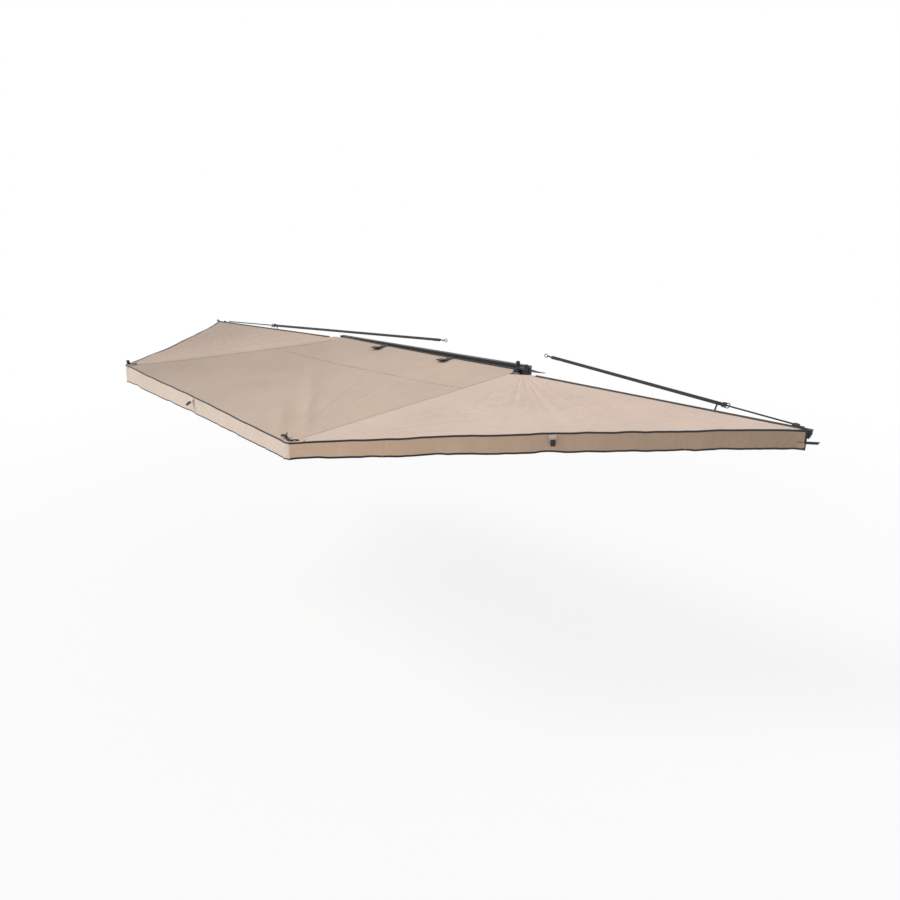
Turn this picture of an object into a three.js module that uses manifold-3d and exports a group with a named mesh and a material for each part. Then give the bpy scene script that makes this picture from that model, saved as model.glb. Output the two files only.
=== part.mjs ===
// Wing awning for the side of a vehicle, opened out, with its support legs stowed in the arms.
// Millimetres. +X runs along the backbone towards the front hub, +Y points outboard, +Z up.
// The origin is on the seat face of the middle mounting bracket.

import * as THREE from 'three';
import { mergeVertices } from 'three/addons/utils/BufferGeometryUtils.js';
import Module from 'manifold-3d';

const wasm = await Module();
wasm.setup();

const degrees = Math.PI / 180;

// Clearances and overruns
const TOUCH_GAP = 0.3;
const RUNNING_GAP = 0.3;
const CUT_OVERRUN = 2;
const JOIN_OVERLAP = 0.5;

// Backbone extrusion
const RAIL_FRONT_X = 1030;
const RAIL_REAR_X = -1050;
const RAIL_WIDTH = 40;
const RAIL_HEIGHT = 80;
const RAIL_WALL = 2.6;
const RAIL_GROUND_GAP = 6;
const KEDER_BORE_RADIUS = 3.5;
const KEDER_SLIT = 2.6;
const KEDER_DEPTH = 5.5;
const KEDER_BELOW_TOP = 29;
const SLOT_MOUTH = 8.6;
const SLOT_WIDTH = 14.6;
const SLOT_LIP = 2.6;
const SLOT_DEPTH = 9;
const SLOT_ABOVE_BOTTOM = 30;
const RAIL_CAP_THICKNESS = 4;
const RAIL_CAP_CHAMFER = 2;
const RAIL_PLUG_DEPTH = 18;
const RAIL_PLUG_HEIGHT = 14;

// Mounting brackets and their bolts
const BRACKET_WIDTH = 60;
const BRACKET_THICKNESS = 5;
const BRACKET_FOOT_INBOARD = 37.5;
const BRACKET_FOOT_OUTBOARD = 40;
const BRACKET_UPRIGHT_HEIGHT = 62;
const BRACKET_SLOT_LENGTH = 34;
const BRACKET_SLOT_WIDTH = 9;
const BRACKET_GUSSET = 14;
const BRACKET_SPACING = 700;
const BRACKET_HOLE_RADIUS = 4.3;

// Arms: an inverted channel with a tongue at the hub
const ARM_WIDTH = 30;
const ARM_HEIGHT = 26;
const ARM_WALL = 2;
const TONGUE_RADIUS = 14;
const TONGUE_HEIGHT = 17;
const SHOULDER_START = 24;
const SHOULDER_LENGTH = 34;
const FRONT_REACH = 1840;
const REAR_REACH = 2045;
const LAST_ARM_REACH = 2024;
const ARM_A_BEARING = 0;
const ARM_B_BEARING = 63;
const ARM_C_BEARING = 84;
const ARM_D_BEARING = 180;
const LANE_FROM_RAIL = 23;
const LANE_PITCH = 38;
const LEVEL_ONE_BELOW_RAIL_TOP = 16.4;
const LEVEL_GAP = 6.2;
const PIVOT_A_X = 1040;
const PIVOT_B_X = 980;
const PIVOT_C_X = -970;
const PIVOT_D_X = -1070;

// The pivot axes lean, so that the folded arms lie level and the opened arms fall outwards
const LEAN_ALONG = 0.58;
const LEAN_OUTWARD = 2.17;

// Hubs
const FLANGE_THICKNESS = 3;
const FLANGE_RADIUS = 18;
const INNER_NECK_SETBACK = 22;
const OUTER_NECK_SETBACK = 36;
const NECK_WIDTH = 36;
const HUB_BACK_THICKNESS = 3;
const PIVOT_RADIUS = 5;
const PIVOT_HOLE_RADIUS = 5.8;
const TONGUE_HOLE_RADIUS = 6.2;
const PIVOT_HEAD_RADIUS = 9;
const PIVOT_HEAD_HEIGHT = 2;
const PIVOT_NUT_HEIGHT = 2.5;
const BOSS_RADIUS = 13;
const BOSS_C_ABOVE_RAIL = 10;
const BOSS_D_ABOVE_RAIL = 3;
const DECK_BELOW_RAIL_TOP = 6;
const DECK_THICKNESS = 14;
const DECK_SETBACK = 22;
const KNOB_RADIUS = 16;
const KNOB_HEIGHT = 24;
const KNOB_WAIST_SHARE = 0.72;

// Arm end caps, with the clevis that carries the leg
const CAP_LENGTH = 52;
const CAP_TOP = 4;
const CAP_NOSE = 8;
const CAP_CHAMFER = 6;
const CAP_SLOT_WIDTH = 21;
const CAP_TONGUE_LENGTH = 22;
const REAR_CAP_DROP = 22;
const REAR_CHEEK_LENGTH = 32;
const LEG_PIN_FROM_TIP = 26;
const LEG_PIN_RADIUS = 4;
const LEG_PIN_HEAD_RADIUS = 6;
const LEG_PIN_HEAD_HEIGHT = 2;

// Telescopic legs, in three sections
const LEG_AXIS_BELOW_TOP = 14.2;
const LEG_HEAD_LENGTH = 24;
const OUTER_RADIUS = 10;
const OUTER_BORE = 8.6;
const OUTER_LENGTH = 736;
const LOCK_RADIUS = 11.4;
const LOCK_LENGTH = 26;
const LOCK_NOSE = 15;
const MIDDLE_RADIUS = 8.2;
const MIDDLE_BORE = 7.1;
const MIDDLE_SHOWN = 26;
const MIDDLE_FROM_HEAD = 37;
const COLLAR_RADIUS = 9.8;
const COLLAR_LENGTH = 16;
const INNER_RADIUS = 6.8;
const INNER_BORE = 5.6;
const INNER_SHOWN = 12;
const INNER_FROM_MIDDLE_END = 17;
const FOOT_RADIUS = 11;
const FOOT_HEIGHT = 30;
const FOOT_SPIGOT = 24;

// Canopy cloth and its skirts
const CLOTH_THICKNESS = 3;
const CLOTH_OVER_ARM = 1.6;
const CLOTH_OVER_BOLT = 4.2;
const CLOTH_SEAM_GAP = 1.2;
const CLOTH_FROM_RAIL = 0.6;
const CLOTH_RAIL_REAR_X = -925;
const CLOTH_RAIL_FRONT_X = 980;
const CLOTH_RAIL_REAR_BELOW_TOP = 30;
const CLOTH_RAIL_FRONT_BELOW_TOP = 10;
const CLOTH_REAR_START = 62;
const REAR_WING_START = 106;
const CLOTH_SAG = 14;
const FRONT_EDGE_BOW = 54;
const SIDE_EDGE_BOW = 6;
const REAR_EDGE_BOW = 48;
const A_CORNER_SHORT = 10;
const LAST_CORNER_SHORT = 31;
const SKIRT_CORNER_PAST = 5;
const SKIRT_THICKNESS = 3;
const SKIRT_AT_A = 130;
const SKIRT_AT_B = 138;
const SKIRT_AT_C = 100;
const SKIRT_AT_D = 138;
const SKIRT_CLEAR_A = 24;
const SKIRT_CLEAR_B = 16;
const SKIRT_CLEAR_C = 26;
const SKIRT_CLEAR_D = 40;
const SIDE_SKIRT_CLEAR = 4;

// Webbing, buckles, rings and the stow bag
const WEBBING_WIDTH = 25;
const WEBBING_THICKNESS = 2;
const CORD_STRAP_WIDTH = 10;
const FRONT_STRAP_FROM_CAP = 125;
const REAR_STRAP_FROM_CAP = 39;
const STRAP_RISE_AT_TIP = 16;
const STRAP_FROM_ARM_MIDDLE = 8;
const FRONT_RING_X = -40;
const REAR_RING_X = -1058;
const RING_INBOARD = 232;
const RING_ABOVE_RAIL = 45;
const RING_RADIUS = 13;
const RING_WIRE = 3;
const FRONT_BUCKLE_FROM_TIP = 652;
const REAR_BUCKLE_FROM_TIP = 438;
const LADDER_LENGTH = 44;
const LADDER_WIDTH = 34;
const LADDER_THICKNESS = 9;
const CLOSURE_FRONT_X = 420;
const CLOSURE_REAR_X = -320;
const CLOSURE_LENGTH = 185;
const CLOSURE_LIFT = 8;
const CLOSURE_FALL = 12;
const BAG_LENGTH = 1960;
const BAG_THICKNESS = 12;
const BAG_HEIGHT = 146;
const BAG_HEM = 5;

// Smoothness of round forms
const ROUND_SIDES = 24;
const SMALL_SIDES = 16;
const CLOTH_ROWS = 10;
const CLOTH_COLUMNS = 8;

// Places that follow from the sizes above
const RAIL_INNER_Y = BRACKET_FOOT_OUTBOARD + BRACKET_THICKNESS + TOUCH_GAP;
const RAIL_OUTER_Y = RAIL_INNER_Y + RAIL_WIDTH;
const RAIL_BOTTOM_Z = RAIL_GROUND_GAP;
const RAIL_TOP_Z = RAIL_BOTTOM_Z + RAIL_HEIGHT;
const INNER_LANE_Y = RAIL_OUTER_Y + LANE_FROM_RAIL;
const OUTER_LANE_Y = INNER_LANE_Y + LANE_PITCH;
const FRONT_LEVEL_TOP = RAIL_TOP_Z - LEVEL_ONE_BELOW_RAIL_TOP;
const REAR_LEVEL_TOP = FRONT_LEVEL_TOP - ARM_HEIGHT - LEVEL_GAP;

// Finishes
const finish = (color, roughness, metalness) => (
  new THREE.MeshStandardMaterial({ color, roughness, metalness })
);
const BLACK_ALLOY = finish(0x23252a, 0.45, 0.6);
const CAST_BLACK = finish(0x1a1b1e, 0.6, 0.3);
const SILVER_ALLOY = finish(0xc9cbce, 0.38, 0.9);
const BRIGHT_STEEL = finish(0x9fa2a6, 0.35, 1);
const BLACK_PLASTIC = finish(0x151517, 0.55, 0);
const BLACK_RUBBER = finish(0x1b1b1b, 0.85, 0);
const BLACK_WEBBING = finish(0x1c1c1f, 0.9, 0);
const BLACK_VINYL = finish(0x202022, 0.6, 0);
const TAN_CANVAS = finish(0xbfa68f, 0.95, 0);

const awning = new THREE.Group();

// Booleans

function solidOf(geometry) {
  const bare = geometry.index ? geometry.toNonIndexed() : geometry.clone();
  bare.deleteAttribute('normal');
  bare.deleteAttribute('uv');
  const merged = mergeVertices(bare);
  return new wasm.Manifold(new wasm.Mesh({
    numProp: 3,
    vertProperties: new Float32Array(merged.attributes.position.array),
    triVerts: new Uint32Array(merged.index.array),
  }));
}

function geometryOf(solid) {
  const mesh = solid.getMesh();
  const geometry = new THREE.BufferGeometry();
  geometry.setAttribute('position', new THREE.BufferAttribute(mesh.vertProperties, 3));
  geometry.setIndex(new THREE.BufferAttribute(mesh.triVerts, 1));
  return geometry;
}

function join(...geometries) {
  return geometryOf(geometries.map(solidOf).reduce((whole, next) => whole.add(next)));
}

function cut(geometry, ...tools) {
  return geometryOf(tools.map(solidOf).reduce((left, tool) => left.subtract(tool), solidOf(geometry)));
}

// Basic forms, each given by its limits

function block([x0, x1], [y0, y1], [z0, z1]) {
  const geometry = new THREE.BoxGeometry(x1 - x0, y1 - y0, z1 - z0);
  return geometry.translate((x0 + x1) / 2, (y0 + y1) / 2, (z0 + z1) / 2);
}

function rodAlongZ(radius, [z0, z1], x = 0, y = 0, sides = ROUND_SIDES) {
  const geometry = new THREE.CylinderGeometry(radius, radius, z1 - z0, sides).rotateX(Math.PI / 2);
  return geometry.translate(x, y, (z0 + z1) / 2);
}

function rodAlongY(radius, [y0, y1], x = 0, z = 0, sides = ROUND_SIDES) {
  return new THREE.CylinderGeometry(radius, radius, y1 - y0, sides).translate(x, (y0 + y1) / 2, z);
}

function rodAlongX(radius, [x0, x1], y = 0, z = 0, sides = ROUND_SIDES) {
  const geometry = new THREE.CylinderGeometry(radius, radius, x1 - x0, sides).rotateZ(Math.PI / 2);
  return geometry.translate((x0 + x1) / 2, y, z);
}

function pointsToShape(points) {
  return new THREE.Shape(points.map(([a, b]) => new THREE.Vector2(a, b)));
}

function plateAlongZ(points, [z0, z1]) {
  const settings = { depth: z1 - z0, bevelEnabled: false };
  return new THREE.ExtrudeGeometry(pointsToShape(points), settings).translate(0, 0, z0);
}

// A section drawn in Y and Z, run along X
function barAlongX(points, [x0, x1]) {
  const geometry = new THREE.ExtrudeGeometry(pointsToShape(points), { depth: x1 - x0, bevelEnabled: false });
  return geometry.applyMatrix4(new THREE.Matrix4().set(0, 0, 1, x0, 1, 0, 0, 0, 0, 1, 0, 0, 0, 0, 0, 1));
}

// A section drawn in X and Z, run along Y
function barAlongY(points, [y0, y1]) {
  const geometry = new THREE.ExtrudeGeometry(pointsToShape(points), { depth: y1 - y0, bevelEnabled: false });
  return geometry.applyMatrix4(new THREE.Matrix4().set(1, 0, 0, 0, 0, 0, -1, y1, 0, 1, 0, 0, 0, 0, 0, 1));
}

function turned(profile, sides = ROUND_SIDES) {
  return new THREE.LatheGeometry(profile.map(([r, h]) => new THREE.Vector2(r, h)), sides);
}

function circlePoints(x, y, radius, sides = ROUND_SIDES) {
  const turns = [...Array(sides).keys()].map((i) => (i / sides) * 2 * Math.PI);
  return turns.map((angle) => [x + radius * Math.cos(angle), y + radius * Math.sin(angle)]);
}

// The outline of a band stretched round a set of points, counter-clockwise
function bandRound(points) {
  const sorted = [...points].sort((p, q) => p[0] - q[0] || p[1] - q[1]);
  const turn = (o, p, q) => (p[0] - o[0]) * (q[1] - o[1]) - (p[1] - o[1]) * (q[0] - o[0]);
  const half = (list) => {
    const chain = [];
    for (const point of list) {
      while (chain.length > 1 && turn(chain.at(-2), chain.at(-1), point) <= 0) chain.pop();
      chain.push(point);
    }
    return chain.slice(0, -1);
  };
  return [...half(sorted), ...half(sorted.reverse())];
}

function addMesh(name, geometry, material, parent = awning) {
  const mesh = new THREE.Mesh(geometry, material);
  mesh.name = name;
  parent.add(mesh);
  return mesh;
}

// Backbone rail: a hollow box with a bolt slot inboard and a groove for the cloth's beaded edge

function buildRail() {
  const length = [RAIL_REAR_X, RAIL_FRONT_X];
  const past = [RAIL_REAR_X - CUT_OVERRUN, RAIL_FRONT_X + CUT_OVERRUN];
  const slotZ = RAIL_BOTTOM_Z + SLOT_ABOVE_BOTTOM;
  const kederZ = RAIL_TOP_Z - KEDER_BELOW_TOP;
  const slotHousing = SLOT_DEPTH + RAIL_WALL;
  const slotHalf = SLOT_WIDTH / 2 + RAIL_WALL;
  const kederHalf = KEDER_BORE_RADIUS + RAIL_WALL;
  const hollowTop = RAIL_TOP_Z - RAIL_WALL;
  const hollowBottom = RAIL_BOTTOM_Z + RAIL_WALL;
  const insideInner = RAIL_INNER_Y + RAIL_WALL;
  const insideOuter = RAIL_OUTER_Y - RAIL_WALL;
  const kederInner = RAIL_OUTER_Y - KEDER_DEPTH - kederHalf;
  const hollow = [
    [insideInner, hollowBottom],
    [insideOuter, hollowBottom],
    [insideOuter, kederZ - kederHalf],
    [kederInner, kederZ - kederHalf],
    [kederInner, kederZ + kederHalf],
    [insideOuter, kederZ + kederHalf],
    [insideOuter, hollowTop],
    [insideInner, hollowTop],
    [insideInner, slotZ + slotHalf],
    [RAIL_INNER_Y + slotHousing, slotZ + slotHalf],
    [RAIL_INNER_Y + slotHousing, slotZ - slotHalf],
    [insideInner, slotZ - slotHalf],
  ];
  const lipY = RAIL_INNER_Y + SLOT_LIP;
  const rail = cut(
    block(length, [RAIL_INNER_Y, RAIL_OUTER_Y], [RAIL_BOTTOM_Z, RAIL_TOP_Z]),
    barAlongX(hollow, past),
    block(
      past,
      [RAIL_INNER_Y - CUT_OVERRUN, lipY + JOIN_OVERLAP],
      [slotZ - SLOT_MOUTH / 2, slotZ + SLOT_MOUTH / 2],
    ),
    block(past, [lipY, RAIL_INNER_Y + SLOT_DEPTH], [slotZ - SLOT_WIDTH / 2, slotZ + SLOT_WIDTH / 2]),
    rodAlongX(KEDER_BORE_RADIUS, past, RAIL_OUTER_Y - KEDER_DEPTH, kederZ, SMALL_SIDES),
    block(
      past,
      [RAIL_OUTER_Y - KEDER_DEPTH, RAIL_OUTER_Y + CUT_OVERRUN],
      [kederZ - KEDER_SLIT / 2, kederZ + KEDER_SLIT / 2],
    ),
  );
  addMesh('backbone_rail', rail, BLACK_ALLOY);
}

// End caps: a plate over the rail's end with a plug inside its lower chamber

function buildRailCap(name, endX, outward) {
  const near = endX + outward * TOUCH_GAP;
  const far = near + outward * RAIL_CAP_THICKNESS;
  const plate = [
    [RAIL_INNER_Y + RAIL_CAP_CHAMFER, RAIL_BOTTOM_Z],
    [RAIL_OUTER_Y - RAIL_CAP_CHAMFER, RAIL_BOTTOM_Z],
    [RAIL_OUTER_Y, RAIL_BOTTOM_Z + RAIL_CAP_CHAMFER],
    [RAIL_OUTER_Y, RAIL_TOP_Z - RAIL_CAP_CHAMFER],
    [RAIL_OUTER_Y - RAIL_CAP_CHAMFER, RAIL_TOP_Z],
    [RAIL_INNER_Y + RAIL_CAP_CHAMFER, RAIL_TOP_Z],
    [RAIL_INNER_Y, RAIL_TOP_Z - RAIL_CAP_CHAMFER],
    [RAIL_INNER_Y, RAIL_BOTTOM_Z + RAIL_CAP_CHAMFER],
  ];
  const reach = [near - outward * RAIL_PLUG_DEPTH, near + (outward * RAIL_CAP_THICKNESS) / 2];
  const plug = block(
    reach.sort((p, q) => p - q),
    [RAIL_INNER_Y + RAIL_WALL + TOUCH_GAP, RAIL_OUTER_Y - RAIL_WALL - TOUCH_GAP],
    [RAIL_BOTTOM_Z + RAIL_WALL + TOUCH_GAP, RAIL_BOTTOM_Z + RAIL_WALL + TOUCH_GAP + RAIL_PLUG_HEIGHT],
  );
  addMesh(name, join(barAlongX(plate, [near, far].sort((p, q) => p - q)), plug), BLACK_PLASTIC);
}

// Mounting brackets: a slotted foot for a crossbar and an upright bolted into the rail's slot

function buildBracket(place, x) {
  const upright = [BRACKET_FOOT_OUTBOARD, BRACKET_FOOT_OUTBOARD + BRACKET_THICKNESS];
  const sides = [x - BRACKET_WIDTH / 2, x + BRACKET_WIDTH / 2];
  const slotZ = RAIL_BOTTOM_Z + SLOT_ABOVE_BOTTOM;
  const through = [-CUT_OVERRUN, BRACKET_THICKNESS + CUT_OVERRUN];
  const slotRun = (BRACKET_SLOT_LENGTH - BRACKET_SLOT_WIDTH) / 2;
  const slotAt = (slotX) => plateAlongZ(
    bandRound([
      ...circlePoints(slotX, -slotRun, BRACKET_SLOT_WIDTH / 2, SMALL_SIDES),
      ...circlePoints(slotX, slotRun, BRACKET_SLOT_WIDTH / 2, SMALL_SIDES),
    ]),
    through,
  );
  const gusset = [
    [upright[0] - BRACKET_GUSSET, BRACKET_THICKNESS - JOIN_OVERLAP],
    [upright[0] + JOIN_OVERLAP, BRACKET_THICKNESS - JOIN_OVERLAP],
    [upright[0] + JOIN_OVERLAP, BRACKET_THICKNESS + BRACKET_GUSSET],
  ];
  const body = join(
    block(sides, [-BRACKET_FOOT_INBOARD, upright[1]], [0, BRACKET_THICKNESS]),
    block(sides, upright, [0, BRACKET_UPRIGHT_HEIGHT]),
    barAlongX(gusset, [sides[0], sides[0] + BRACKET_THICKNESS]),
    barAlongX(gusset, [sides[1] - BRACKET_THICKNESS, sides[1]]),
  );
  const slotSpread = BRACKET_WIDTH / 4;
  const boltRun = [upright[0] - CUT_OVERRUN, upright[1] + CUT_OVERRUN];
  const bracket = cut(
    body,
    slotAt(x - slotSpread),
    slotAt(x + slotSpread),
    rodAlongY(BRACKET_HOLE_RADIUS, boltRun, x, slotZ, SMALL_SIDES),
  );
  addMesh(`bracket_${place}`, bracket, BLACK_ALLOY);
}

// Hubs: a back plate on the rail and a pair of flanges for each pivot

const leanAxis = (along) => new THREE.Vector3(
  along * Math.tan(LEAN_ALONG * degrees),
  Math.tan(LEAN_OUTWARD * degrees),
  1,
).normalize();

const HUBS = {
  front: { axis: leanAxis(1), top: FRONT_LEVEL_TOP, forward: 1, foldedBearing: 180 },
  rear: { axis: leanAxis(-1), top: REAR_LEVEL_TOP, forward: -1, foldedBearing: 0 },
};

const ARMS = {
  a: {
    hub: 'front',
    x: PIVOT_A_X,
    y: OUTER_LANE_Y,
    bearing: ARM_A_BEARING,
    reach: FRONT_REACH,
    drop: 0,
    inboard: -1,
  },
  b: {
    hub: 'front',
    x: PIVOT_B_X,
    y: INNER_LANE_Y,
    bearing: ARM_B_BEARING,
    reach: FRONT_REACH,
    drop: 0,
  },
  c: {
    hub: 'rear',
    x: PIVOT_C_X,
    y: INNER_LANE_Y,
    bearing: ARM_C_BEARING,
    reach: REAR_REACH,
    drop: REAR_CAP_DROP,
  },
  d: {
    hub: 'rear',
    x: PIVOT_D_X,
    y: OUTER_LANE_Y,
    bearing: ARM_D_BEARING,
    reach: LAST_ARM_REACH,
    drop: REAR_CAP_DROP,
    inboard: 1,
  },
};

// The neck runs from the rail to the pivot and stays clear of the folded arm's shoulder
function lugOutline({ x, y }, forward, setback) {
  const base = RAIL_OUTER_Y + TOUCH_GAP;
  const near = x - forward * setback;
  return bandRound([
    [near, base],
    [near + forward * NECK_WIDTH, base],
    ...circlePoints(x, y, FLANGE_RADIUS),
  ]);
}

// A rod whose axis passes a pivot point and leans like the hub's pivots
function leaningRod(arm, radius, below, above, sides = ROUND_SIDES) {
  const hub = HUBS[arm.hub];
  const middle = hub.top - ARM_HEIGHT / 2;
  const turn = new THREE.Quaternion().setFromUnitVectors(new THREE.Vector3(0, 0, 1), hub.axis);
  const geometry = rodAlongZ(radius, [below - middle, above - middle], 0, 0, sides).applyQuaternion(turn);
  return geometry.translate(arm.x, arm.y, middle);
}

function buildHub(name, arms, extras) {
  const hub = HUBS[arms[0].hub];
  const top = hub.top;
  const bottom = hub.top - ARM_HEIGHT;
  const base = RAIL_OUTER_Y + TOUCH_GAP;
  const outlines = [
    lugOutline(arms[0], hub.forward, INNER_NECK_SETBACK),
    lugOutline(arms[1], hub.forward, OUTER_NECK_SETBACK),
  ];
  const xs = outlines.flat().filter(([, y]) => y === base).map(([x]) => x);
  const backEnds = [Math.min(...xs), Math.max(...xs)];
  const plates = outlines.flatMap((outline) => [
    plateAlongZ(outline, [top - FLANGE_THICKNESS, top]),
    plateAlongZ(outline, [bottom, bottom + FLANGE_THICKNESS]),
  ]);
  const back = block(backEnds, [base, base + HUB_BACK_THICKNESS], [bottom, top]);
  const above = RAIL_TOP_Z + KNOB_HEIGHT;
  const holes = arms.map((arm) => leaningRod(arm, PIVOT_HOLE_RADIUS, bottom - CUT_OVERRUN, above));
  addMesh(name, cut(join(back, ...plates, ...extras), ...holes), CAST_BLACK);
}

// The rear pivots stand up through bosses, tied to each other and to the rail by a deck
const REAR_BOSSES = [
  { arm: ARMS.c, top: RAIL_TOP_Z + BOSS_C_ABOVE_RAIL },
  { arm: ARMS.d, top: RAIL_TOP_Z + BOSS_D_ABOVE_RAIL },
];

function rearDeck() {
  const base = RAIL_OUTER_Y + TOUCH_GAP;
  const topZ = RAIL_TOP_Z - DECK_BELOW_RAIL_TOP;
  const pivots = REAR_BOSSES.flatMap(({ arm }) => circlePoints(arm.x, arm.y, BOSS_RADIUS));
  const ends = [ARMS.c.x + DECK_SETBACK, ARMS.d.x + DECK_SETBACK];
  const outline = bandRound([...pivots, ...ends.map((x) => [x, base])]);
  const fromZ = HUBS.rear.top - JOIN_OVERLAP;
  const riser = block([ends[1], ends[0]], [base, base + HUB_BACK_THICKNESS], [fromZ, topZ]);
  const bosses = REAR_BOSSES.map(({ arm, top }) => rodAlongZ(BOSS_RADIUS, [fromZ, top], arm.x, arm.y));
  return [plateAlongZ(outline, [topZ - DECK_THICKNESS, topZ]), riser, ...bosses];
}

function pivotShaft(arm, foot, top, nutHeight) {
  const low = foot + TOUCH_GAP + nutHeight;
  return join(
    leaningRod(arm, PIVOT_RADIUS, foot + nutHeight / 2, top),
    rodAlongZ(PIVOT_HEAD_RADIUS, [low - TOUCH_GAP - nutHeight, low - TOUCH_GAP], arm.x, arm.y, 6),
  );
}

function buildPivotBolts() {
  for (const key of ['a', 'b']) {
    const arm = ARMS[key];
    const top = HUBS.front.top + TOUCH_GAP;
    const foot = HUBS.front.top - ARM_HEIGHT - TOUCH_GAP - PIVOT_NUT_HEIGHT;
    const head = rodAlongZ(PIVOT_HEAD_RADIUS, [top, top + PIVOT_HEAD_HEIGHT], arm.x, arm.y);
    const bolt = join(pivotShaft(arm, foot, top + PIVOT_HEAD_HEIGHT / 2, PIVOT_NUT_HEIGHT), head);
    addMesh(`pivot_bolt_${key}`, bolt, BRIGHT_STEEL);
  }
  const rise = KNOB_HEIGHT / 4;
  const waist = KNOB_RADIUS * KNOB_WAIST_SHARE;
  for (const [i, key] of ['c', 'd'].entries()) {
    const { arm, top } = REAR_BOSSES[i];
    const foot = HUBS.rear.top - ARM_HEIGHT - TOUCH_GAP - 2 * PIVOT_NUT_HEIGHT;
    const knob = turned([
      [0, 0],
      [waist, 0],
      [KNOB_RADIUS, rise],
      [KNOB_RADIUS, KNOB_HEIGHT - rise],
      [waist, KNOB_HEIGHT],
      [0, KNOB_HEIGHT],
    ]);
    knob.rotateX(Math.PI / 2).translate(arm.x, arm.y, top + TOUCH_GAP);
    const bolt = join(pivotShaft(arm, foot, top + rise, 2 * PIVOT_NUT_HEIGHT), knob);
    addMesh(`pivot_bolt_${key}`, bolt, CAST_BLACK);
  }
}

// Arms. In an arm's own frame +X runs out from the pivot, and Z is zero on the arm's top face

function armPlacement(arm) {
  const hub = HUBS[arm.hub];
  const swing = (arm.bearing - hub.foldedBearing) * degrees;
  const middle = ARM_HEIGHT / 2;
  return new THREE.Matrix4()
    .makeTranslation(arm.x, arm.y, hub.top - middle)
    .multiply(new THREE.Matrix4().makeRotationAxis(hub.axis, swing))
    .multiply(new THREE.Matrix4().makeRotationZ(hub.foldedBearing * degrees))
    .multiply(new THREE.Matrix4().makeTranslation(0, 0, middle));
}

function armGroup(arm) {
  const group = new THREE.Group();
  armPlacement(arm).decompose(group.position, group.quaternion, group.scale);
  awning.add(group);
  return group;
}

function buildArm(key, arm, group) {
  const half = ARM_WIDTH / 2;
  const middle = -ARM_HEIGHT / 2;
  const channelEnd = arm.reach - CAP_LENGTH;
  const shoulderEnd = SHOULDER_START + SHOULDER_LENGTH;
  const tongueLevels = [middle - TONGUE_HEIGHT / 2, middle + TONGUE_HEIGHT / 2];
  const body = join(
    rodAlongZ(TONGUE_RADIUS, tongueLevels),
    block([0, SHOULDER_START + JOIN_OVERLAP], [-TONGUE_RADIUS, TONGUE_RADIUS], tongueLevels),
    block([SHOULDER_START, channelEnd], [-half, half], [-ARM_HEIGHT, 0]),
  );
  const channel = block(
    [shoulderEnd, channelEnd + CUT_OVERRUN],
    [-half + ARM_WALL, half - ARM_WALL],
    [-ARM_HEIGHT - CUT_OVERRUN, -ARM_WALL],
  );
  const bore = rodAlongZ(TONGUE_HOLE_RADIUS, [-ARM_HEIGHT, 0]);
  addMesh(`arm_${key}`, cut(body, channel, bore), SILVER_ALLOY, group);
}

function buildCap(key, arm, group) {
  const start = arm.reach - CAP_LENGTH + TOUCH_GAP;
  const half = ARM_WIDTH / 2;
  const pinX = arm.reach - LEG_PIN_FROM_TIP;
  const lowest = -ARM_HEIGHT - arm.drop;
  const outline = [
    [start, -half],
    [arm.reach - CAP_CHAMFER, -half],
    [arm.reach, -half + CAP_CHAMFER],
    [arm.reach, half - CAP_CHAMFER],
    [arm.reach - CAP_CHAMFER, half],
    [start, half],
  ];
  const tongueHalf = half - ARM_WALL - TOUCH_GAP;
  const tongues = block(
    [start - CAP_TONGUE_LENGTH, start + JOIN_OVERLAP],
    [-tongueHalf, tongueHalf],
    [-ARM_HEIGHT + ARM_WALL, -CAP_TOP],
  );
  const slot = block(
    [start - CAP_TONGUE_LENGTH - CUT_OVERRUN, arm.reach - CAP_NOSE],
    [-CAP_SLOT_WIDTH / 2, CAP_SLOT_WIDTH / 2],
    [lowest - CUT_OVERRUN, -CAP_TOP + TOUCH_GAP],
  );
  const headHalf = half + LEG_PIN_HEAD_HEIGHT;
  const pinZ = -LEG_AXIS_BELOW_TOP;
  const pinHole = rodAlongY(LEG_PIN_RADIUS + RUNNING_GAP, [-headHalf, headHalf], pinX, pinZ, SMALL_SIDES);
  const solids = [plateAlongZ(outline, [-ARM_HEIGHT, 0]), tongues];
  if (arm.drop > 0) {
    solids.push(block(
      [arm.reach - CAP_NOSE - REAR_CHEEK_LENGTH, arm.reach - CAP_NOSE],
      [-half, half],
      [lowest, -ARM_HEIGHT + JOIN_OVERLAP],
    ));
  }
  addMesh(`arm_cap_${key}`, cut(join(...solids), slot, pinHole), CAST_BLACK, group);

  const face = half + TOUCH_GAP;
  const pin = join(
    rodAlongY(LEG_PIN_RADIUS, [-face - JOIN_OVERLAP, face + JOIN_OVERLAP], pinX, pinZ, SMALL_SIDES),
    rodAlongY(LEG_PIN_HEAD_RADIUS, [face, face + LEG_PIN_HEAD_HEIGHT], pinX, pinZ, SMALL_SIDES),
    rodAlongY(LEG_PIN_HEAD_RADIUS, [-face - LEG_PIN_HEAD_HEIGHT, -face], pinX, pinZ, SMALL_SIDES),
  );
  addMesh(`leg_pin_${key}`, pin, BRIGHT_STEEL, group);
}

// Legs lie in the arm's channel, hinged at the cap, with the foot towards the hub

function tubeTowardsHub(radius, bore, from, length) {
  const end = from - length;
  return cut(
    rodAlongX(radius, [end, from], 0, -LEG_AXIS_BELOW_TOP),
    rodAlongX(bore, [end - CUT_OVERRUN, from + CUT_OVERRUN], 0, -LEG_AXIS_BELOW_TOP),
  );
}

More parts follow.
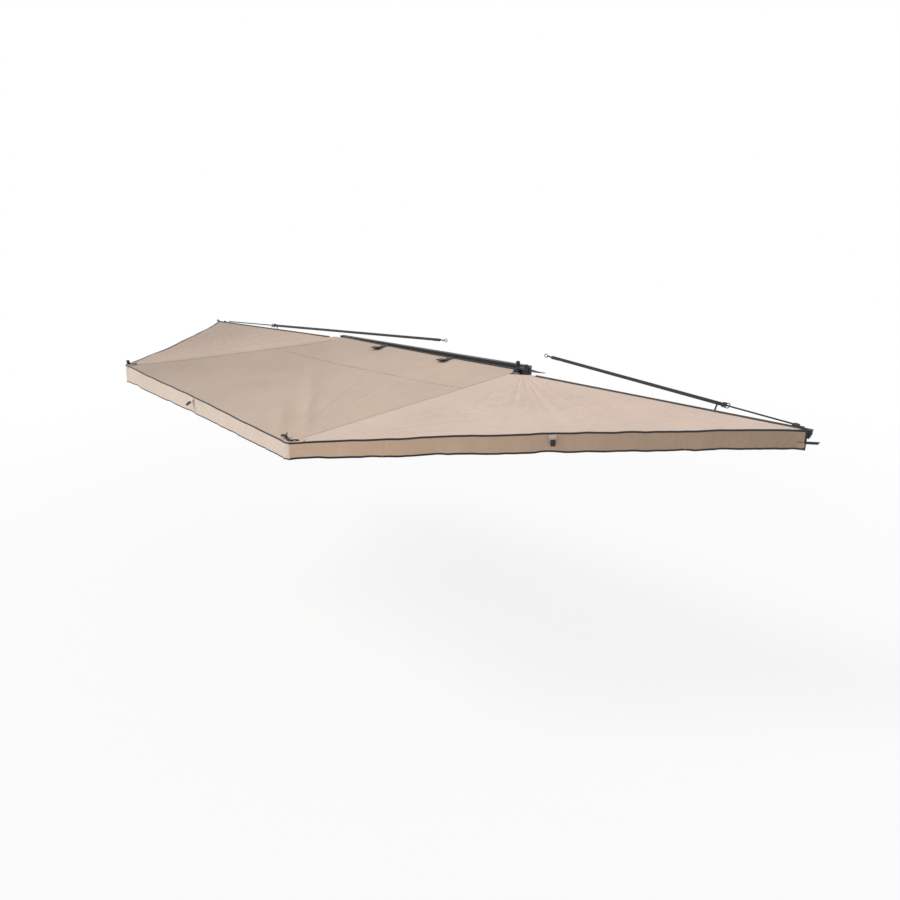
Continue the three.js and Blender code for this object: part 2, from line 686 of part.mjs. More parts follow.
function collar(radius, onOuter, onInner, [start, step, end]) {
  const axisZ = -LEG_AXIS_BELOW_TOP;
  return cut(
    rodAlongX(radius, [end, start], 0, axisZ),
    rodAlongX(onOuter, [step, start + CUT_OVERRUN], 0, axisZ),
    rodAlongX(onInner, [end - CUT_OVERRUN, step + JOIN_OVERLAP], 0, axisZ),
  );
}

function buildLeg(key, arm, group) {
  const pinX = arm.reach - LEG_PIN_FROM_TIP;
  const headHalf = CAP_SLOT_WIDTH / 2 - RUNNING_GAP;
  const axisZ = -LEG_AXIS_BELOW_TOP;
  const tubeStart = pinX - LEG_HEAD_LENGTH;
  const headLevels = [axisZ - OUTER_RADIUS, axisZ + OUTER_RADIUS];
  const pinRun = [-headHalf - CUT_OVERRUN, headHalf + CUT_OVERRUN];
  const outer = cut(
    join(
      rodAlongY(OUTER_RADIUS, [-headHalf, headHalf], pinX, axisZ),
      block([tubeStart - JOIN_OVERLAP, pinX], [-headHalf, headHalf], headLevels),
      tubeTowardsHub(OUTER_RADIUS, OUTER_BORE, tubeStart, OUTER_LENGTH),
    ),
    rodAlongY(LEG_PIN_RADIUS + RUNNING_GAP, pinRun, pinX, axisZ, SMALL_SIDES),
  );
  addMesh(`leg_outer_${key}`, outer, SILVER_ALLOY, group);

  const outerEnd = tubeStart - OUTER_LENGTH;
  const lockEnd = outerEnd - LOCK_NOSE;
  const lockPlaces = [outerEnd + LOCK_LENGTH, outerEnd - TOUCH_GAP, lockEnd];
  const lock = collar(LOCK_RADIUS, OUTER_RADIUS + TOUCH_GAP, MIDDLE_RADIUS + TOUCH_GAP, lockPlaces);
  addMesh(`leg_lock_${key}`, lock, BLACK_PLASTIC, group);

  const middleEnd = lockEnd - MIDDLE_SHOWN;
  const middleStart = tubeStart - MIDDLE_FROM_HEAD;
  const middle = cut(
    join(
      rodAlongX(MIDDLE_RADIUS, [middleEnd, middleStart], 0, axisZ),
      rodAlongX(COLLAR_RADIUS, [middleEnd, middleEnd + COLLAR_LENGTH], 0, axisZ),
    ),
    rodAlongX(MIDDLE_BORE, [middleEnd - CUT_OVERRUN, middleStart + CUT_OVERRUN], 0, axisZ),
  );
  addMesh(`leg_middle_${key}`, middle, SILVER_ALLOY, group);

  const innerEnd = middleEnd - INNER_SHOWN;
  const innerStart = middleStart - INNER_FROM_MIDDLE_END;
  const inner = tubeTowardsHub(INNER_RADIUS, INNER_BORE, innerStart, innerStart - innerEnd);
  addMesh(`leg_inner_${key}`, inner, SILVER_ALLOY, group);

  const footFace = innerEnd - TOUCH_GAP;
  const spigot = [footFace - JOIN_OVERLAP, footFace + FOOT_SPIGOT];
  const foot = join(
    rodAlongX(FOOT_RADIUS, [footFace - FOOT_HEIGHT, footFace], 0, axisZ),
    rodAlongX(INNER_BORE - TOUCH_GAP, spigot, 0, axisZ, SMALL_SIDES),
  );
  addMesh(`leg_foot_${key}`, foot, BLACK_RUBBER, group);
}

// Canopy cloth: three sewn panels between the arms and the rail, as thin closed sheets

// A point over an arm, given along and across it and above its top face
function overArm(arm, along, across, above) {
  return new THREE.Vector3(along, across, above).applyMatrix4(armPlacement(arm));
}

// A closed sheet from a grid of points on its upper face, with its thickness below
function sheetFromGrid(rows, thickness) {
  const high = rows.length;
  const wide = rows[0].length;
  const positions = [];
  for (const below of [0, thickness]) {
    for (const point of rows.flat()) positions.push(point.x, point.y, point.z - below);
  }
  const at = (i, j, layer) => layer * high * wide + i * wide + j;
  const faces = [];
  const quad = (p, q, r, s) => faces.push(p, q, r, p, r, s);
  for (let i = 0; i < high - 1; i += 1) {
    for (let j = 0; j < wide - 1; j += 1) {
      quad(at(i, j, 0), at(i, j + 1, 0), at(i + 1, j + 1, 0), at(i + 1, j, 0));
      quad(at(i, j, 1), at(i + 1, j, 1), at(i + 1, j + 1, 1), at(i, j + 1, 1));
    }
  }
  for (let j = 0; j < wide - 1; j += 1) {
    quad(at(0, j, 0), at(0, j, 1), at(0, j + 1, 1), at(0, j + 1, 0));
    quad(at(high - 1, j, 0), at(high - 1, j + 1, 0), at(high - 1, j + 1, 1), at(high - 1, j, 1));
  }
  for (let i = 0; i < high - 1; i += 1) {
    quad(at(i, 0, 0), at(i + 1, 0, 0), at(i + 1, 0, 1), at(i, 0, 1));
    quad(at(i, wide - 1, 0), at(i, wide - 1, 1), at(i + 1, wide - 1, 1), at(i + 1, wide - 1, 0));
  }
  const geometry = new THREE.BufferGeometry();
  geometry.setAttribute('position', new THREE.BufferAttribute(new Float32Array(positions), 3));
  geometry.setIndex(faces);
  return facingOut(geometry);
}

// Turns the faces round where they would point inwards
function facingOut(geometry) {
  const position = geometry.attributes.position;
  const corner = (k) => new THREE.Vector3().fromBufferAttribute(position, k);
  const faces = [...geometry.index.array];
  let volume = 0;
  for (let k = 0; k < faces.length; k += 3) {
    volume += corner(faces[k]).dot(corner(faces[k + 1]).cross(corner(faces[k + 2])));
  }
  if (volume < 0) geometry.setIndex(faces.reverse());
  return geometry;
}

const steps = (count) => [...Array(count + 1).keys()].map((i) => i / count);
// Where the cloth starts and ends along each arm
const CLOTH_RUN = {
  a: [0, FRONT_REACH - A_CORNER_SHORT],
  b: [0, FRONT_REACH + SKIRT_CORNER_PAST],
  c: [CLOTH_REAR_START, REAR_REACH + SKIRT_CORNER_PAST],
  d: [CLOTH_REAR_START, LAST_ARM_REACH - LAST_CORNER_SHORT],
};

// The line of cloth over an arm, on one side of the seam above it, clear of the pivot bolt's head
function clothLine({ key, side, from }, out) {
  const [usual, end] = CLOTH_RUN[key];
  const start = from ?? usual;
  const nearBolt = Math.max(0, 1 - (out * (end - start)) / CLOTH_REAR_START);
  const overBolt = start === 0 ? TOUCH_GAP + PIVOT_HEAD_HEIGHT + CLOTH_OVER_BOLT - CLOTH_OVER_ARM : 0;
  const above = CLOTH_OVER_ARM + CLOTH_THICKNESS + nearBolt * overBolt;
  return overArm(ARMS[key], start + out * (end - start), (side * CLOTH_SEAM_GAP) / 2, above);
}

// Between two lines, drawn in towards the hubs at the outer edge and sagging a little midway
function clothBetween(first, second, across, out, bow) {
  const point = first.clone().lerp(second, across);
  const middle = 4 * across * (1 - across);
  const edge = second.clone().sub(first);
  const inward = new THREE.Vector3(-edge.y, edge.x, 0).normalize();
  point.addScaledVector(inward, bow * middle * out ** 3);
  point.z -= CLOTH_SAG * (middle * 4 * out * (1 - out)) ** 2;
  return point;
}

function clothRows(first, second, bow) {
  return steps(CLOTH_ROWS).map((out) => steps(CLOTH_COLUMNS).map((across) => clothBetween(
    clothLine(first, out),
    clothLine(second, out),
    across,
    out,
    bow,
  )));
}

// Along the rail the cloth rises towards the front hub, whose arms lie higher
function clothHeightAtRail(x) {
  const across = (CLOTH_RAIL_FRONT_X - x) / (CLOTH_RAIL_FRONT_X - CLOTH_RAIL_REAR_X);
  const rear = RAIL_TOP_Z - CLOTH_RAIL_REAR_BELOW_TOP;
  const front = RAIL_TOP_Z - CLOTH_RAIL_FRONT_BELOW_TOP;
  return rear + (1 - across) ** 2 * (front - rear);
}

function railRow() {
  const xs = steps(CLOTH_COLUMNS).map((across) => (
    CLOTH_RAIL_FRONT_X + across * (CLOTH_RAIL_REAR_X - CLOTH_RAIL_FRONT_X)
  ));
  return xs.map((x) => new THREE.Vector3(x, RAIL_OUTER_Y + CLOTH_FROM_RAIL, clothHeightAtRail(x)));
}

// Skirts hang just outside the outer edges, from one height at the first corner to another at the last
function skirt(edge, heightOne, heightTwo) {
  const count = edge.length - 1;
  const outside = (point, i, distance) => {
    const along = edge[Math.min(i + 1, count)].clone().sub(edge[Math.max(i - 1, 0)]);
    return point.clone().addScaledVector(new THREE.Vector3(along.y, -along.x, 0).normalize(), distance);
  };
  const near = edge.map((point, i) => outside(point, i, CLOTH_FROM_RAIL));
  const far = edge.map((point, i) => outside(point, i, CLOTH_FROM_RAIL + SKIRT_THICKNESS));
  const geometry = sheetFromGrid([near, far], SKIRT_THICKNESS);
  const position = geometry.attributes.position;
  const layer = 2 * edge.length;
  for (let k = 0; k < layer; k += 1) {
    const height = heightOne + ((k % edge.length) / count) * (heightTwo - heightOne);
    position.setZ(k + layer, position.getZ(k) - height);
  }
  return geometry;
}

// The edge with its first and last points moved in to clear the arms' ends
function trimmed(edge, atStart, atEnd) {
  const start = edge[1].clone().sub(edge[0]).normalize();
  const end = edge.at(-2).clone().sub(edge.at(-1)).normalize();
  return [
    edge[0].clone().addScaledVector(start, atStart),
    ...edge.slice(1, -1),
    edge.at(-1).clone().addScaledVector(end, atEnd),
  ];
}

function buildCanopy() {
  const front = clothRows({ key: 'a', side: 1 }, { key: 'b', side: -1 }, FRONT_EDGE_BOW);
  const main = clothRows({ key: 'b', side: 1 }, { key: 'c', side: -1 }, SIDE_EDGE_BOW);
  const rear = clothRows({ key: 'c', side: 1, from: REAR_WING_START }, { key: 'd', side: -1 }, REAR_EDGE_BOW);
  addMesh('front_wing_panel', sheetFromGrid(front, CLOTH_THICKNESS), TAN_CANVAS);
  addMesh('main_panel', sheetFromGrid([railRow(), ...main], CLOTH_THICKNESS), TAN_CANVAS);
  addMesh('rear_wing_panel', sheetFromGrid(rear, CLOTH_THICKNESS), TAN_CANVAS);
  const frontEdge = trimmed(front.at(-1), SKIRT_CLEAR_A, SKIRT_CLEAR_B);
  const sideEdge = trimmed(main.at(-1), SIDE_SKIRT_CLEAR, SIDE_SKIRT_CLEAR);
  const rearEdge = trimmed(rear.at(-1), SKIRT_CLEAR_C, SKIRT_CLEAR_D);
  addMesh('front_skirt', skirt(frontEdge, SKIRT_AT_A, SKIRT_AT_B), TAN_CANVAS);
  addMesh('side_skirt', skirt(sideEdge, SKIRT_AT_B, SKIRT_AT_C), TAN_CANVAS);
  addMesh('rear_skirt', skirt(rearEdge, SKIRT_AT_C, SKIRT_AT_D), TAN_CANVAS);
}

// Tension straps tie the two long wings back to eyes on the roof rack

function bandBetween(from, to, width, thickness) {
  const run = to.clone().sub(from);
  const geometry = new THREE.BoxGeometry(run.length(), width, thickness);
  const along = run.clone().normalize();
  const across = new THREE.Vector3(0, 0, 1).cross(along).normalize();
  const up = along.clone().cross(across);
  geometry.applyMatrix4(new THREE.Matrix4().makeBasis(along, across, up));
  const middle = from.clone().add(to).multiplyScalar(0.5);
  return geometry.translate(middle.x, middle.y, middle.z);
}

function strapRoute(arm, fromCap, ringX) {
  const along = arm.reach - CAP_LENGTH - fromCap;
  const across = arm.inboard * STRAP_FROM_ARM_MIDDLE;
  const tip = overArm(arm, along, across, STRAP_RISE_AT_TIP);
  const anchor = overArm(arm, along, across, TOUCH_GAP);
  const ring = new THREE.Vector3(ringX, RAIL_OUTER_Y - RING_INBOARD, RAIL_TOP_Z + RING_ABOVE_RAIL);
  return { anchor, tip, ring, run: ring.clone().sub(tip).normalize() };
}

function buildTensionStrap(place, arm, fromCap, ringX, buckleFromTip) {
  const { anchor, tip, ring, run } = strapRoute(arm, fromCap, ringX);
  const buckle = tip.clone().addScaledVector(run, buckleFromTip);
  const buckleEnd = buckle.clone().addScaledVector(run, LADDER_LENGTH);
  const strapEnd = ring.clone().addScaledVector(run, -RING_RADIUS);
  const foot = block(
    [-CORD_STRAP_WIDTH / 2, CORD_STRAP_WIDTH / 2],
    [-CORD_STRAP_WIDTH / 2, CORD_STRAP_WIDTH / 2],
    [0, STRAP_RISE_AT_TIP],
  );
  foot.translate(anchor.x, anchor.y, anchor.z + JOIN_OVERLAP);
  const strap = join(
    foot,
    bandBetween(tip, buckleEnd, CORD_STRAP_WIDTH, WEBBING_THICKNESS),
    bandBetween(buckle, strapEnd, WEBBING_WIDTH, WEBBING_THICKNESS),
  );
  const frame = bandBetween(buckle, buckleEnd, LADDER_WIDTH, LADDER_THICKNESS);
  const passage = bandBetween(
    buckle.clone().addScaledVector(run, -CUT_OVERRUN),
    buckleEnd.clone().addScaledVector(run, CUT_OVERRUN),
    WEBBING_WIDTH + 2 * TOUCH_GAP,
    WEBBING_THICKNESS + 2 * TOUCH_GAP,
  );
  addMesh(`${place}_tension_strap`, strap, BLACK_WEBBING);
  addMesh(`${place}_strap_buckle`, cut(frame, passage), BRIGHT_STEEL);
  const wireRing = new THREE.TorusGeometry(RING_RADIUS, RING_WIRE, 8, ROUND_SIDES);
  const bearing = Math.atan2(run.y, run.x);
  wireRing.rotateX(Math.PI / 2).rotateZ(bearing);
  const ringCentre = ring.clone().addScaledVector(run, RING_WIRE + TOUCH_GAP);
  addMesh(`${place}_strap_ring`, wireRing.translate(ringCentre.x, ringCentre.y, ringCentre.z), BRIGHT_STEEL);
}

// Closure straps come up off the rail and lie over the cloth
function buildClosureStrap(place, x) {
  const z = clothHeightAtRail(x) + CLOSURE_LIFT;
  const from = new THREE.Vector3(x, RAIL_OUTER_Y + TOUCH_GAP, z);
  const to = new THREE.Vector3(x, RAIL_OUTER_Y + CLOSURE_LENGTH, z - CLOSURE_FALL);
  addMesh(`closure_strap_${place}`, bandBetween(from, to, WEBBING_WIDTH, WEBBING_THICKNESS), BLACK_WEBBING);
}

// Stow bag: the open cover hangs as a folded flap under the rail
function buildStowBag() {
  const middleY = (RAIL_INNER_Y + RAIL_OUTER_Y) / 2 - BAG_THICKNESS / 2;
  const top = RAIL_BOTTOM_Z - TOUCH_GAP;
  const bottom = top - BAG_HEIGHT;
  const half = BAG_THICKNESS / 2;
  const section = [
    [middleY - half, bottom + BAG_HEM],
    [middleY - half + BAG_HEM, bottom],
    [middleY + half - BAG_HEM, bottom],
    [middleY + half, bottom + BAG_HEM],
    [middleY + half, top - BAG_HEM],
    [middleY + half - BAG_HEM, top],
    [middleY - half + BAG_HEM, top],
    [middleY - half, top - BAG_HEM],
  ];
  const middleX = (RAIL_FRONT_X + RAIL_REAR_X) / 2;
  addMesh('stow_bag', barAlongX(section, [middleX - BAG_LENGTH / 2, middleX + BAG_LENGTH / 2]), BLACK_VINYL);
}

buildRail();
buildRailCap('rail_cap_front', RAIL_FRONT_X, 1);
buildRailCap('rail_cap_rear', RAIL_REAR_X, -1);
buildBracket('front', BRACKET_SPACING);
buildBracket('middle', 0);
buildBracket('rear', -BRACKET_SPACING);
buildHub('front_hub', [ARMS.b, ARMS.a], []);
buildHub('rear_hub', [ARMS.c, ARMS.d], rearDeck());
buildPivotBolts();
for (const [key, arm] of Object.entries(ARMS)) {
  const group = armGroup(arm);
  buildArm(key, arm, group);
  buildCap(key, arm, group);
  buildLeg(key, arm, group);
}
buildCanopy();
buildTensionStrap('front', ARMS.a, FRONT_STRAP_FROM_CAP, FRONT_RING_X, FRONT_BUCKLE_FROM_TIP);
buildTensionStrap('rear', ARMS.d, REAR_STRAP_FROM_CAP, REAR_RING_X, REAR_BUCKLE_FROM_TIP);
buildClosureStrap('front', CLOSURE_FRONT_X);
buildClosureStrap('rear', CLOSURE_REAR_X);
buildStowBag();

export default awning;
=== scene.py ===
# %% [markdown]
# # A wing awning, dressed in cloth, paint and thread
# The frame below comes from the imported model: every rigid piece already has its place, its size and
# the joint it moves on. This script adds what a solid model leaves out, which is the sewn cloth, the
# webbing, the small fasteners and all the finishes. Everything is in metres, with +X along the rail,
# +Y outboard and +Z up.

# %% Load the frame
import math

import bpy
import numpy as np
from mathutils import Matrix, Vector


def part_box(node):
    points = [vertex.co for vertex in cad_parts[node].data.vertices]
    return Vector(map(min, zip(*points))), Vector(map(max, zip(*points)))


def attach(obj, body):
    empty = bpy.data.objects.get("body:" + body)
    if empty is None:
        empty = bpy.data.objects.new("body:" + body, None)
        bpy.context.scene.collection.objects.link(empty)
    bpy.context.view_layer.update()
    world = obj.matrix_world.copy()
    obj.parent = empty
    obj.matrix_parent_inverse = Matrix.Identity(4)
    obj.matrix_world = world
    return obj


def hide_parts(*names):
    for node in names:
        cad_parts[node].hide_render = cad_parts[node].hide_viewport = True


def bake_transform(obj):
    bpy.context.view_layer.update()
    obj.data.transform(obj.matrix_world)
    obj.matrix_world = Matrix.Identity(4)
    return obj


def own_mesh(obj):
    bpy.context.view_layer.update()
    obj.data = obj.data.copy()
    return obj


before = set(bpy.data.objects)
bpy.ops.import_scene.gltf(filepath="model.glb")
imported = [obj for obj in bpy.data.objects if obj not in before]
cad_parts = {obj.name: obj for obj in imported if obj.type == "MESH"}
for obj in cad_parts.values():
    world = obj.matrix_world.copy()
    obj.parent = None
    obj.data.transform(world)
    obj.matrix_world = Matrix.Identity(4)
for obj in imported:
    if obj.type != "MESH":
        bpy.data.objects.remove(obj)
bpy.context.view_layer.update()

# %% [markdown]
# The camera stands low and outboard of the rear corner, so the long cloth edges run across the picture
# and the canopy's top is seen at a shallow angle. It could be aimed by three turns, but its place and its
# own right and up directions are easier to measure and to keep, so they go straight into its matrix.

# %% Camera
CAMERA_PLACE = Vector((-4.135, 4.7193, 1.315))
CAMERA_RIGHT = Vector((-0.7692, -0.6390, -0.0025))
CAMERA_UP = Vector((0.2050, -0.2504, 0.9462))

def make_camera():
    lens = bpy.data.cameras.new("camera")
    lens.lens, lens.sensor_width, lens.clip_end = 29.92, 36.0, 200.0
    camera = bpy.data.objects.new("camera", lens)
    right, up = CAMERA_RIGHT.normalized(), CAMERA_UP.normalized()
    back = right.cross(up).normalized()
    camera.matrix_world = Matrix((
        (right.x, up.x, back.x, CAMERA_PLACE.x),
        (right.y, up.y, back.y, CAMERA_PLACE.y),
        (right.z, up.z, back.z, CAMERA_PLACE.z),
        (0, 0, 0, 1)))
    bpy.context.scene.collection.objects.link(camera)
    bpy.context.scene.camera = camera
    return camera

make_camera()
bpy.context.scene.view_settings.view_transform = "Standard"
print("camera", [round(v, 2) for v in CAMERA_PLACE])

# %% [markdown]
# ## Node helpers
# A material, the sky and a geometry tree are all made of nodes. Adding each node and each link by hand takes
# many lines, so one helper adds a node with its settings, and links each input or gives it its value.

# %% Node helpers
def node(tree, kind, inputs=None, **settings):
    made = tree.nodes.new(kind)
    for key, value in settings.items():
        setattr(made, key, value)
    for key, value in (inputs or {}).items():
        if isinstance(value, bpy.types.NodeSocket):
            tree.links.new(value, made.inputs[key])
        else:
            made.inputs[key].default_value = value
    return made

def arithmetic(tree, operation, first, second):
    return node(tree, "ShaderNodeMath", {0: first, 1: second}, operation=operation).outputs[0]

def spread(tree, value, low, high, to_low, to_high, **settings):
    inputs = {"Value": value, "From Min": low, "From Max": high, "To Min": to_low, "To Max": to_high}
    return node(tree, "ShaderNodeMapRange", inputs, **settings).outputs["Result"]

def new_finish(name, colour, roughness, metallic=0.0):
    finish = bpy.data.materials.new(name)
    finish.use_nodes = True
    shader = finish.node_tree.nodes["Principled BSDF"]
    shader.inputs["Base Color"].default_value = (*colour, 1)
    shader.inputs["Roughness"].default_value = roughness
    shader.inputs["Metallic"].default_value = metallic
    finish.diffuse_color = (*colour, 1)
    return finish, finish.node_tree, shader

print("node helpers ready")

# %% [markdown]
# A pale floor lies at ground level, far below the awning. One broad sun from the front outboard side
# leaves the rear skirt in its own shade, as open daylight does, and an even pale sky fills the rest. The
# camera sees the floor and the sky as white, while the light on the object stays low, because the white
# is mixed in only for rays from the camera and from mirrors. The floor keeps a faint shadow.

# %% Floor, sky and sun
GROUND_Z, FLOOR_SIZE = -2.10, 60
FLOOR_GREY, FLOOR_ROUGHNESS = 0.86, 0.9
FADE_FROM, FADE_TO, FADE_SHARE = 3.5, 9.0, 0.80
SKY_STRENGTH, SKY_COLOUR = 0.62, (0.96, 0.97, 1.0, 1)
SUN_STRENGTH, SUN_ANGLE, SUN_COLOUR = 1.55, math.radians(24), (1.0, 0.975, 0.94)
SUN_FROM = Vector((0.62, 0.62, 0.95))

def seen_directly(tree):
    """One for rays from the camera and in mirrors, zero for the light on the object."""
    rays = node(tree, "ShaderNodeLightPath").outputs
    return arithmetic(tree, "MAXIMUM", rays["Is Camera Ray"], rays["Is Glossy Ray"])

def mixed(tree, amount, shaded, white_kind, output):
    white = node(tree, white_kind, {"Color": (1, 1, 1, 1), "Strength": 1.0})
    mix = node(tree, "ShaderNodeMixShader", {0: amount, 1: shaded, 2: white.outputs[0]})
    tree.links.new(mix.outputs[0], output)

def floor_paint():
    """A pale floor that fades to plain white away from the object, with its shadow kept faint."""
    paint, tree, shader = new_finish("pale_floor", (FLOOR_GREY, FLOOR_GREY, FLOOR_GREY), FLOOR_ROUGHNESS)
    place = node(tree, "ShaderNodeTexCoord").outputs["Object"]
    away = node(tree, "ShaderNodeVectorMath", {0: place}, operation="LENGTH").outputs["Value"]
    fade = spread(tree, away, FADE_FROM, FADE_TO, FADE_SHARE, 1.0, interpolation_type="SMOOTHSTEP")
    amount = arithmetic(tree, "MULTIPLY", fade, seen_directly(tree))
    output = tree.nodes["Material Output"].inputs["Surface"]
    mixed(tree, amount, shader.outputs[0], "ShaderNodeEmission", output)
    return paint

def make_stage():
    world = bpy.data.worlds.new("pale_sky")
    bpy.context.scene.world = world
    world.use_nodes = True
    tree = world.node_tree
    sky = tree.nodes["Background"]
    sky.inputs["Color"].default_value = SKY_COLOUR
    sky.inputs["Strength"].default_value = SKY_STRENGTH
    output = tree.nodes["World Output"].inputs["Surface"]
    mixed(tree, seen_directly(tree), sky.outputs[0], "ShaderNodeBackground", output)
    bpy.ops.mesh.primitive_plane_add(size=FLOOR_SIZE, location=(0, 0, GROUND_Z))
    floor = bpy.context.object
    floor.name = "floor"
    floor.data.materials.append(floor_paint())
    sun = bpy.data.lights.new("sun", "SUN")
    sun.energy, sun.angle, sun.color = SUN_STRENGTH, SUN_ANGLE, SUN_COLOUR
    lamp = bpy.data.objects.new("sun", sun)
    lamp.rotation_mode = "QUATERNION"
    lamp.rotation_quaternion = SUN_FROM.to_track_quat("Z", "Y")
    bpy.context.scene.collection.objects.link(lamp)

make_stage()
print("floor at", GROUND_Z)

# %% [markdown]
# Four arms swing on leaning pivots, so that they lie level when folded and fall outwards when open. Every
# sewn or fastened detail is placed in an arm's own frame, whose X runs out from the pivot and whose Z is
# zero on the arm's top face, and then carried into the common frame by one matrix. Typing each place in
# the common frame would work too, but then a change to an arm would leave its details behind.

# %% The arms' own frames
LEAN_ALONG, LEAN_OUTWARD, ARM_HEIGHT = math.radians(0.58), math.radians(2.17), 0.026
ARMS = {
    "a": dict(pivot=(1.040, 0.1463), top=0.0696, lean=1, folded=180, bearing=0, reach=1.840, opens=180),
    "b": dict(pivot=(0.980, 0.1083), top=0.0696, lean=1, folded=180, bearing=63, reach=1.840, opens=117),
    "c": dict(pivot=(-0.970, 0.1083), top=0.0374, lean=-1, folded=0, bearing=84, reach=2.045, opens=84),
    "d": dict(pivot=(-1.070, 0.1463), top=0.0374, lean=-1, folded=0, bearing=180, reach=2.024, opens=180),
}

def arm_matrix(key):
    arm = ARMS[key]
    axis = Vector((arm["lean"] * math.tan(LEAN_ALONG), math.tan(LEAN_OUTWARD), 1)).normalized()
    swing = math.radians(arm["bearing"] - arm["folded"])
    middle = ARM_HEIGHT / 2
    return (Matrix.Translation((*arm["pivot"], arm["top"] - middle))
            @ Matrix.Rotation(swing, 4, axis)
            @ Matrix.Rotation(math.radians(arm["folded"]), 4, "Z")
            @ Matrix.Translation((0, 0, middle)))

def on_arm(key, points):
    matrix = np.array(arm_matrix(key))
    return np.atleast_2d(points) @ matrix[:3, :3].T + matrix[:3, 3]

def onto(key):
    """A function that carries points from an arm's own frame to the common one."""
    return lambda points: on_arm(key, points)

for key in ARMS:
    print("tip of arm", key, on_arm(key, (ARMS[key]["reach"], 0, 0))[0].round(3))

# %% [markdown]
# ## Mesh helpers
# Straps, bindings and buckles could be drawn by hand in edit mode, but most of them follow an edge or repeat.
# So they are built from lists of points: a section led along a line, or an outline given a thickness. One
# helper makes a mesh object from the points, turns it inside out when its faces point inwards, smooths it
# below a given edge angle, and keeps a UV map in metres, so that a weave has the same scale everywhere.

# %% Mesh helpers
def unit(vectors):
    vectors = np.asarray(vectors, float)
    return vectors / np.maximum(np.linalg.norm(vectors, axis=-1, keepdims=True), 1e-12)

def make_piece(name, points, faces, finish, uvs=None, closed=True, smooth_angle=40):
    mesh = bpy.data.meshes.new(name)
    mesh.from_pydata([tuple(p) for p in np.asarray(points, float)], [], [tuple(f) for f in faces])
    mesh.update()
    if closed:
        at = np.array([v.co for v in mesh.vertices])
        volume = sum(
            float(np.dot(at[f.vertices[0]], np.cross(at[f.vertices[i]], at[f.vertices[i + 1]])))
            for f in mesh.polygons for i in range(1, len(f.vertices) - 1))
        if volume < 0:
            mesh.flip_normals()
    mesh.shade_smooth()
    mesh.set_sharp_from_angle(angle=math.radians(smooth_angle))
    if uvs is not None:
        layer = mesh.uv_layers.new(name="metres")
        loops = np.zeros(len(mesh.loops), int)
        mesh.loops.foreach_get("vertex_index", loops)
        layer.data.foreach_set("uv", np.asarray(uvs, float)[loops].ravel())
    mesh.materials.append(finish)
    piece = bpy.data.objects.new(name, mesh)
    bpy.context.scene.collection.objects.link(piece)
    return piece

print("mesh helper ready")

# %% [markdown]
# A strap, a binding and a wire are all one section led along a line. A curve object with a bevel could do
# this, but it would turn the section by itself, and here a strap's width has to keep a direction of its own.
# So a loft joins rings of points, a sweep makes those rings from a section, and ribbons and rods are sweeps
# with a fixed kind of section.

# %% Sweeps, ribbons and rods
def run_lengths(points):
    return np.concatenate([[0], np.cumsum(np.linalg.norm(np.diff(points, axis=0), axis=1))])

def tangents(points):
    return unit(np.gradient(np.asarray(points, float), axis=0))

def loft(name, rings, finish, smooth_angle=50):
    """Rings of points joined into one closed skin with flat ends, its UV map in metres round and along."""
    rings = np.asarray(rings, float)
    count, sides = rings.shape[:2]
    index = np.arange(count * sides).reshape(count, sides)
    faces = [(index[i, k], index[i, (k + 1) % sides], index[i + 1, (k + 1) % sides], index[i + 1, k])
             for i in range(count - 1) for k in range(sides)]
    faces += [tuple(range(sides))[::-1], tuple((count - 1) * sides + k for k in range(sides))]
    uvs = [(round_it, along) for along in run_lengths(rings[:, 0]) for round_it in run_lengths(rings[0])]
    return make_piece(name, rings.reshape(-1, 3), faces, finish, uvs, smooth_angle=smooth_angle)

def sweep(name, points, first, second, section, finish, smooth_angle=50):
    """A section led along the points; its two numbers are steps along the first and second directions."""
    first, second = np.broadcast_to(first, points.shape), np.broadcast_to(second, points.shape)
    rings = np.stack([points + first * a + second * b for a, b in section], 1)
    return loft(name, rings, finish, smooth_angle)

def ribbon(name, points, across, width, thickness, finish):
    """A flat strap with softened edges that follows the points; across gives its width's direction."""
    points = np.asarray(points, float)
    across = np.broadcast_to(unit(across), points.shape)
    normal = unit(np.cross(tangents(points), across))
    soft, half, high = thickness * 0.3, width / 2, thickness / 2
    section = [(half, high - soft), (half - soft, high), (soft - half, high), (-half, high - soft),
               (-half, soft - high), (soft - half, -high), (half - soft, -high), (half, soft - high)]
    return sweep(name, points, across, normal, section, finish, 60)

def rod(name, points, radius, finish, sides=12, up=(0.0, 0.0, 1.0)):
    """A round bar that follows the points, with its ends closed."""
    points = np.asarray(points, float)
    run = tangents(points)
    side = unit(np.cross(run, np.broadcast_to(np.asarray(up, float), points.shape) + 1e-4))
    normal = np.cross(run, side)
    turns = np.arange(sides) / sides * 2 * math.pi
    rings = [points + (side * math.cos(t) + normal * math.sin(t)) * radius for t in turns]
    return loft(name, np.stack(rings, 1), finish)

print("a straight run of two metres measures", run_lengths(np.array([(0, 0, 0), (2, 0, 0)]))[-1])

# %% [markdown]
# Buckles, plates and patches are flat shapes with a thickness. Many are the same on both sides of their
# middle, so only half of the outline is written. A slab is drawn lying flat, and a frame function carries
# it to its place, which is simpler than typing turned coordinates.

# %% Slabs and frames
def mirrored(half):
    """An outline from the points along one of its sides; the other side is their mirror image."""
    return [(x, -y) for x, y in half] + half[::-1]

